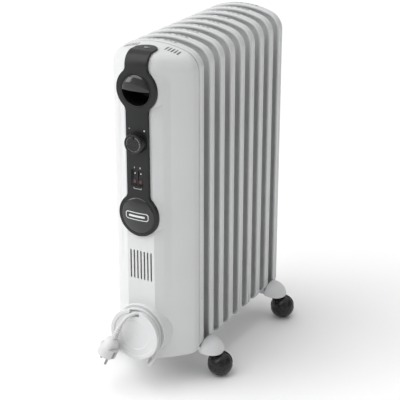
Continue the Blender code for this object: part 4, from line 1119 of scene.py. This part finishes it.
def add_switch_frame():
    """The black frame in the window, with a pocket for each rocker."""
    width, height = WINDOW[0] - 0.0006, WINDOW[1] - 0.0006
    body = slab_mesh("switch", rounded_rectangle(width, height, 0.0012), 0.052, STRIP_FRONT - 0.0008, 0.0006)
    steps = []
    for x in ROCKER_XS:
        outline = rounded_rectangle(ROCKER_WIDTH + 0.0008, 0.0270, 0.0005, (x, 0))
        steps.append(cut(slab_mesh("pocket", outline, ROCKER_DEPTH - 0.0042, 0.090)))
    mesh = shaped("switch", body, steps)
    add_front_piece("switch_frame", mesh, ROCKER_BLACK, "rocker_black", SWITCH_Z, ["switch_body"])


def rocker_mesh():
    """A rocker cap with a hollow back: two faces that meet in a shallow dip."""
    half, steps = 0.0126, 8
    dip = [(half * (1 - step / steps), 0.0028 + 0.0012 * (1 - step / steps) ** 2) for step in range(1, 9)]
    rise = [(-half * step / steps, 0.0028 + 0.0012 * (step / steps) ** 2) for step in range(1, 9)]
    back = [(-half, 0.0006), (-0.006, -0.0027), (0.006, -0.0027), (half, 0.0006), (half, 0.0040)]
    outline = rounded([*back, *dip, *rise], 0.0004, 2, True)
    mesh = slab_mesh("rocker", outline, -ROCKER_WIDTH / 2, ROCKER_WIDTH / 2, 0.0002)
    mesh.transform(Matrix.Rotation(math.pi / 2, 4, "Z") @ Matrix.Rotation(math.pi / 2, 4, "X"))
    return mesh


def add_switches():
    """Two rockers, each with a small red lamp window and a printed dot."""
    add_switch_frame()
    turn = (math.pi / 2 - ROCKER_REST_TILT, 0, 0)
    for side, x in zip(("left", "right"), ROCKER_XS):
        body, place = f"rocker_{side}", front_place(x, ROCKER_DEPTH, SWITCH_Z)
        cap = rocker_mesh()
        add_piece(f"rocker_cap_{side}", cap, ROCKER_BLACK, "rocker_black", body, [body], place, turn)
        neon = slab_mesh("neon", rounded_rectangle(0.0052, 0.0062, 0.0008), 0.0026, 0.0037, 0.0003)
        neon.transform(Matrix.Translation((0, -0.0072, 0)))
        add_piece(f"rocker_neon_{side}", neon, NEON_RED, "rocker_black", body, (), place, turn)
        dot = slab_mesh("dot", rounded_rectangle(0.0024, 0.0024, 0.0011), 0.0028, 0.0037, 0.0001)
        dot.transform(Matrix.Translation((0, 0.0078, 0)))
        add_piece(f"rocker_dot_{side}", dot, PRINT_WHITE, "badge_silver", body, (), place, turn)


# Spool
def add_spool():
    """The cord reel: a hub and a stepped round face, notched where the cord comes out."""
    profile = [
        (0, SPOOL_RIM - 0.0024),
        (0.0060, SPOOL_RIM - 0.0024),
        (0.0066, SPOOL_RIM - 0.0019),
        (0.0290, SPOOL_RIM - 0.0022),
        (0.0305, SPOOL_RIM - 0.0011),
        (0.0425, SPOOL_RIM - 0.0012),
        (0.0440, SPOOL_RIM),
        (SPOOL_RADIUS, SPOOL_RIM),
        (SPOOL_RADIUS, GROOVE_FRONT),
        (HUB_RADIUS, GROOVE_FRONT),
        (HUB_RADIUS, SPOOL_BOSS_FRONT + 0.0003),
        (0, SPOOL_BOSS_FRONT + 0.0003),
    ]
    mesh = turned_mesh("spool", rounded(profile, 0.0012, 5), 128)
    notch = slab_mesh("notch", rounded_rectangle(0.0210, 0.0300, 0.0040, (0.0015, 0.0525)), 0.0880, 0.1000)
    mesh = shaped("spool", mesh, [cut(notch)])
    add_front_piece("spool_disc", mesh, SHELL_WHITE, "white_plastic", SPOOL_Z, ["cord_spool"])


# Castors
def add_hood(end, hand, side, y):
    """A quarter dome beside the fins, open below, with a foot that plugs into the bracket."""
    name = f"{end}_{hand}"
    bm = bmesh.new()
    stretch = Matrix.Translation((side * FIN_HALF, y, HOOD_Z)) @ Matrix.Diagonal((*HOOD_SIZE, 1))
    bmesh.ops.create_uvsphere(bm, u_segments=64, v_segments=32, radius=1, matrix=stretch)
    dome = mesh_from(bm, "dome")
    inner_x, outer_x = FIN_HALF + 0.0003, 0.125
    wedge = [(inner_x, 0.0605), (outer_x, 0.0505), (outer_x, 0.095), (inner_x, 0.095)]
    mask = slab_mesh("mask", wedge, -0.045, 0.045)
    mask.transform(Matrix.Diagonal((side, 1, 1, 1)) @ Matrix.Rotation(math.pi / 2, 4, "X"))
    if side < 0:
        mask.flip_normals()
    foot = box_mesh("foot", ((0.033, 0.0292, 0.0060), (side * 0.0785, 0, 0.0582)))
    socket = disc_mesh(0.0043, 0.0043, 0.045, 0.0706, 32)
    steps = [
        ("INTERSECT", mask, (0, y, 0), ORIGIN),
        ("UNION", foot, (0, y, 0), ORIGIN),
        cut(socket, (side * STEM_X, y, 0)),
    ]
    mesh = shaped("hood", dome, steps, bevel=0.0007)
    add_piece(f"hood_shell_{name}", mesh, SHELL_WHITE, "white_plastic", replaces=[f"castor_hood_{name}"])


def swivel_mesh(ball, turn):
    """A round plate between the wheels, with a neck and a stem pin, bored for the axle."""
    half = BALL_HALF_GAP - 0.0004
    rim = [(0, half), (PLATE_RADIUS, half), (PLATE_RADIUS, -half), (0, -half)]
    plate = turned_mesh("plate", rounded(rim, 0.0010, 3), 72)
    plate.transform(Matrix.Translation(ball) @ turn.to_matrix().to_4x4())
    side = [(0, 0.0540), (0.0046, 0.0540), (0.0049, 0.0500), (0.0049, 0.025), (0, 0.025)]
    neck = turned_mesh("neck", rounded(side, 0.0006, 3), 40)
    pin = disc_mesh(STEM_RADIUS, STEM_RADIUS, 0.050, 0.0700, 32)
    bore = disc_mesh(0.0034, 0.0034, -0.02, 0.02, 32)
    steps = [("UNION", neck, ORIGIN, ORIGIN), ("UNION", pin, ORIGIN, ORIGIN), cut(bore, ball, turn)]
    return shaped("swivel", plate, steps)


def ball_mesh():
    """Two domes either side of a gap, each with a fine ring pressed round its cap."""
    rim = math.degrees(math.asin(BALL_HALF_GAP / BALL_RADIUS))
    upper = []
    for radius, height in arc((0, 0), BALL_RADIUS, 90, rim, 26):
        dent = 0.0007 * (1 - smooth_step(abs(radius - 0.0080), 0.0004, 0.0009))
        upper.append((radius, height - dent))
    lower = [(radius, -height) for radius, height in reversed(upper)]
    return turned_mesh("wheel", [*upper, (0.0030, BALL_HALF_GAP), (0.0030, -BALL_HALF_GAP), *lower], 72)


def add_castor(end, hand, side, y):
    """Two dome wheels either side of a swivelling plate with a neck."""
    name = f"{end}_{hand}"
    stem = Vector((side * STEM_X, y, 0))
    trail = Vector((side * math.cos(TRAIL_TURN), math.sin(TRAIL_TURN), 0))
    ball = stem + trail * TRAIL + Vector((0, 0, BALL_Z))
    turn = Vector((0, 0, 1)).cross(trail).to_track_quat("Z", "Y").to_euler()
    for piece, mesh, moving, place, tilt in (
        ("swivel_plate", swivel_mesh(ball - stem, turn), "swivel", stem, ORIGIN),
        ("ball_wheel", ball_mesh(), "wheel", ball, turn),
    ):
        body, node = f"{moving}_{name}", [f"castor_{moving}_{name}"]
        add_piece(f"{piece}_{name}", mesh, CASTOR_BLACK, "castor_black", body, node, place, tilt)


def add_brackets():
    """Threads on the U-bolts; the brackets and wing nuts keep their CAD shape."""
    leg_x = HEADER_RADIUS + 0.0037
    for end, y in zip(("front", "rear"), GAP_YS):
        arch = arc((0, LOWER_HEADER_Z), leg_x, 180, 0, 33)
        left = [(-leg_x, z) for z in np.arange(0.0442, LOWER_HEADER_Z - 0.004, 0.0005)]
        right = [(x * -1, z) for x, z in reversed(left)]
        path = [*left, *arch, *right]
        radii = []
        for x, z in path:
            thread = 0.000088 * math.cos(2 * math.pi * z / 0.0010) if z < 0.075 else 0
            radii.append(U_BOLT_RADIUS + thread)
        points = [(x, y, z) for x, z in path]
        mesh = tube_mesh("u_bolt", points, 18, radii)
        add_piece(f"hanger_bolt_{end}", mesh, ZINC_STEEL, "zinc_steel", replaces=[f"u_bolt_{end}"], angle=60)


def paint_cad_nodes():
    """Materials for the pieces whose CAD shape stays."""
    looks = {
        "heat_shield": BARE_STEEL,
        "control_bracket": BARE_STEEL,
        "element_flange": BARE_STEEL,
        "thermostat_shaft": BARE_STEEL,
        "heating_element": COPPER,
        "thermostat_body": CREAM_NYLON,
        "terminal_block": CREAM_NYLON,
        "thermal_cutout": CUP_BLACK,
        "upper_header_plug": HEADER_PAINT,
    }
    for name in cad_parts:
        if name.startswith(("castor_bracket", "wing_nut")):
            looks[name] = ZINC_STEEL
    for name, material in looks.items():
        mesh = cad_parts[name].data
        mesh.materials.clear()
        mesh.materials.append(material)


# Stage
def add_floor():
    bm = bmesh.new()
    bmesh.ops.create_grid(bm, x_segments=1, y_segments=1, size=6)
    floor = new_object("floor", mesh_from(bm, "floor"))
    floor.location.z = -0.0002
    material = surface("floor_white", (0.86, 0.86, 0.86), 0.75, grain=(300, 0.00002), blotch=(2, 0.01))
    floor.data.materials.append(material)


def add_world():
    """White surroundings that are brighter on the left."""
    world = bpy.data.worlds.new("studio")
    bpy.context.scene.world = world
    world.use_nodes = True
    nodes, links = world.node_tree.nodes, world.node_tree.links
    places = nodes.new("ShaderNodeTexCoord")
    axes = nodes.new("ShaderNodeSeparateXYZ")
    fade = nodes.new("ShaderNodeMapRange")
    set_inputs(fade, {"From Min": -0.75, "From Max": 0.75, "To Min": 0.78, "To Max": 0.24})
    set_inputs(nodes["Background"], {"Color": (1, 1, 1, 1)})
    links.new(places.outputs["Generated"], axes.inputs["Vector"])
    links.new(axes.outputs["X"], fade.inputs["Value"])
    links.new(fade.outputs["Result"], nodes["Background"].inputs["Strength"])


def add_light(name, kind, place, aim, energy):
    """A light at a place that shines back along an aim."""
    data = bpy.data.lights.new(name, kind)
    data.energy = energy
    light = new_object(name, data)
    light.location = place
    light.rotation_euler = aim.to_track_quat("Z", "Y").to_euler()
    return data


def add_lights():
    """Two broad suns, a window panel on the left and a faint fill on the right."""
    suns = (
        ("key_sun", (-0.50, -0.70, 1.15), 1.85, 60),
        ("overhead_sun", (0.15, 0.20, 1.0), 0.75, 80),
    )
    for name, aim, strength, spread in suns:
        light = add_light(name, "SUN", Vector(aim) * 3, Vector(aim), strength)
        light.angle = math.radians(spread)
    panels = (
        ("left_window", (-1.7, -1.5, 1.0), 0.9, 9),
        ("right_fill", (2.4, -0.6, 1.2), 1.4, 3),
    )
    for name, place, size, power in panels:
        light = add_light(name, "AREA", place, Vector(place) - Vector((0, 0, 0.4)), power)
        light.size = size


add_fins()
add_headers()
add_housing()
add_strip()
add_handle()
add_badge()
add_knob()
add_marks()
add_switches()
add_spool()
for end, y in zip(("front", "rear"), GAP_YS):
    for hand, side in (("left", -1), ("right", 1)):
        add_hood(end, hand, side, y)
        add_castor(end, hand, side, y)
add_brackets()
paint_cad_nodes()
add_floor()
add_world()
add_lights()

bpy.context.scene.view_settings.view_transform = "Standard"
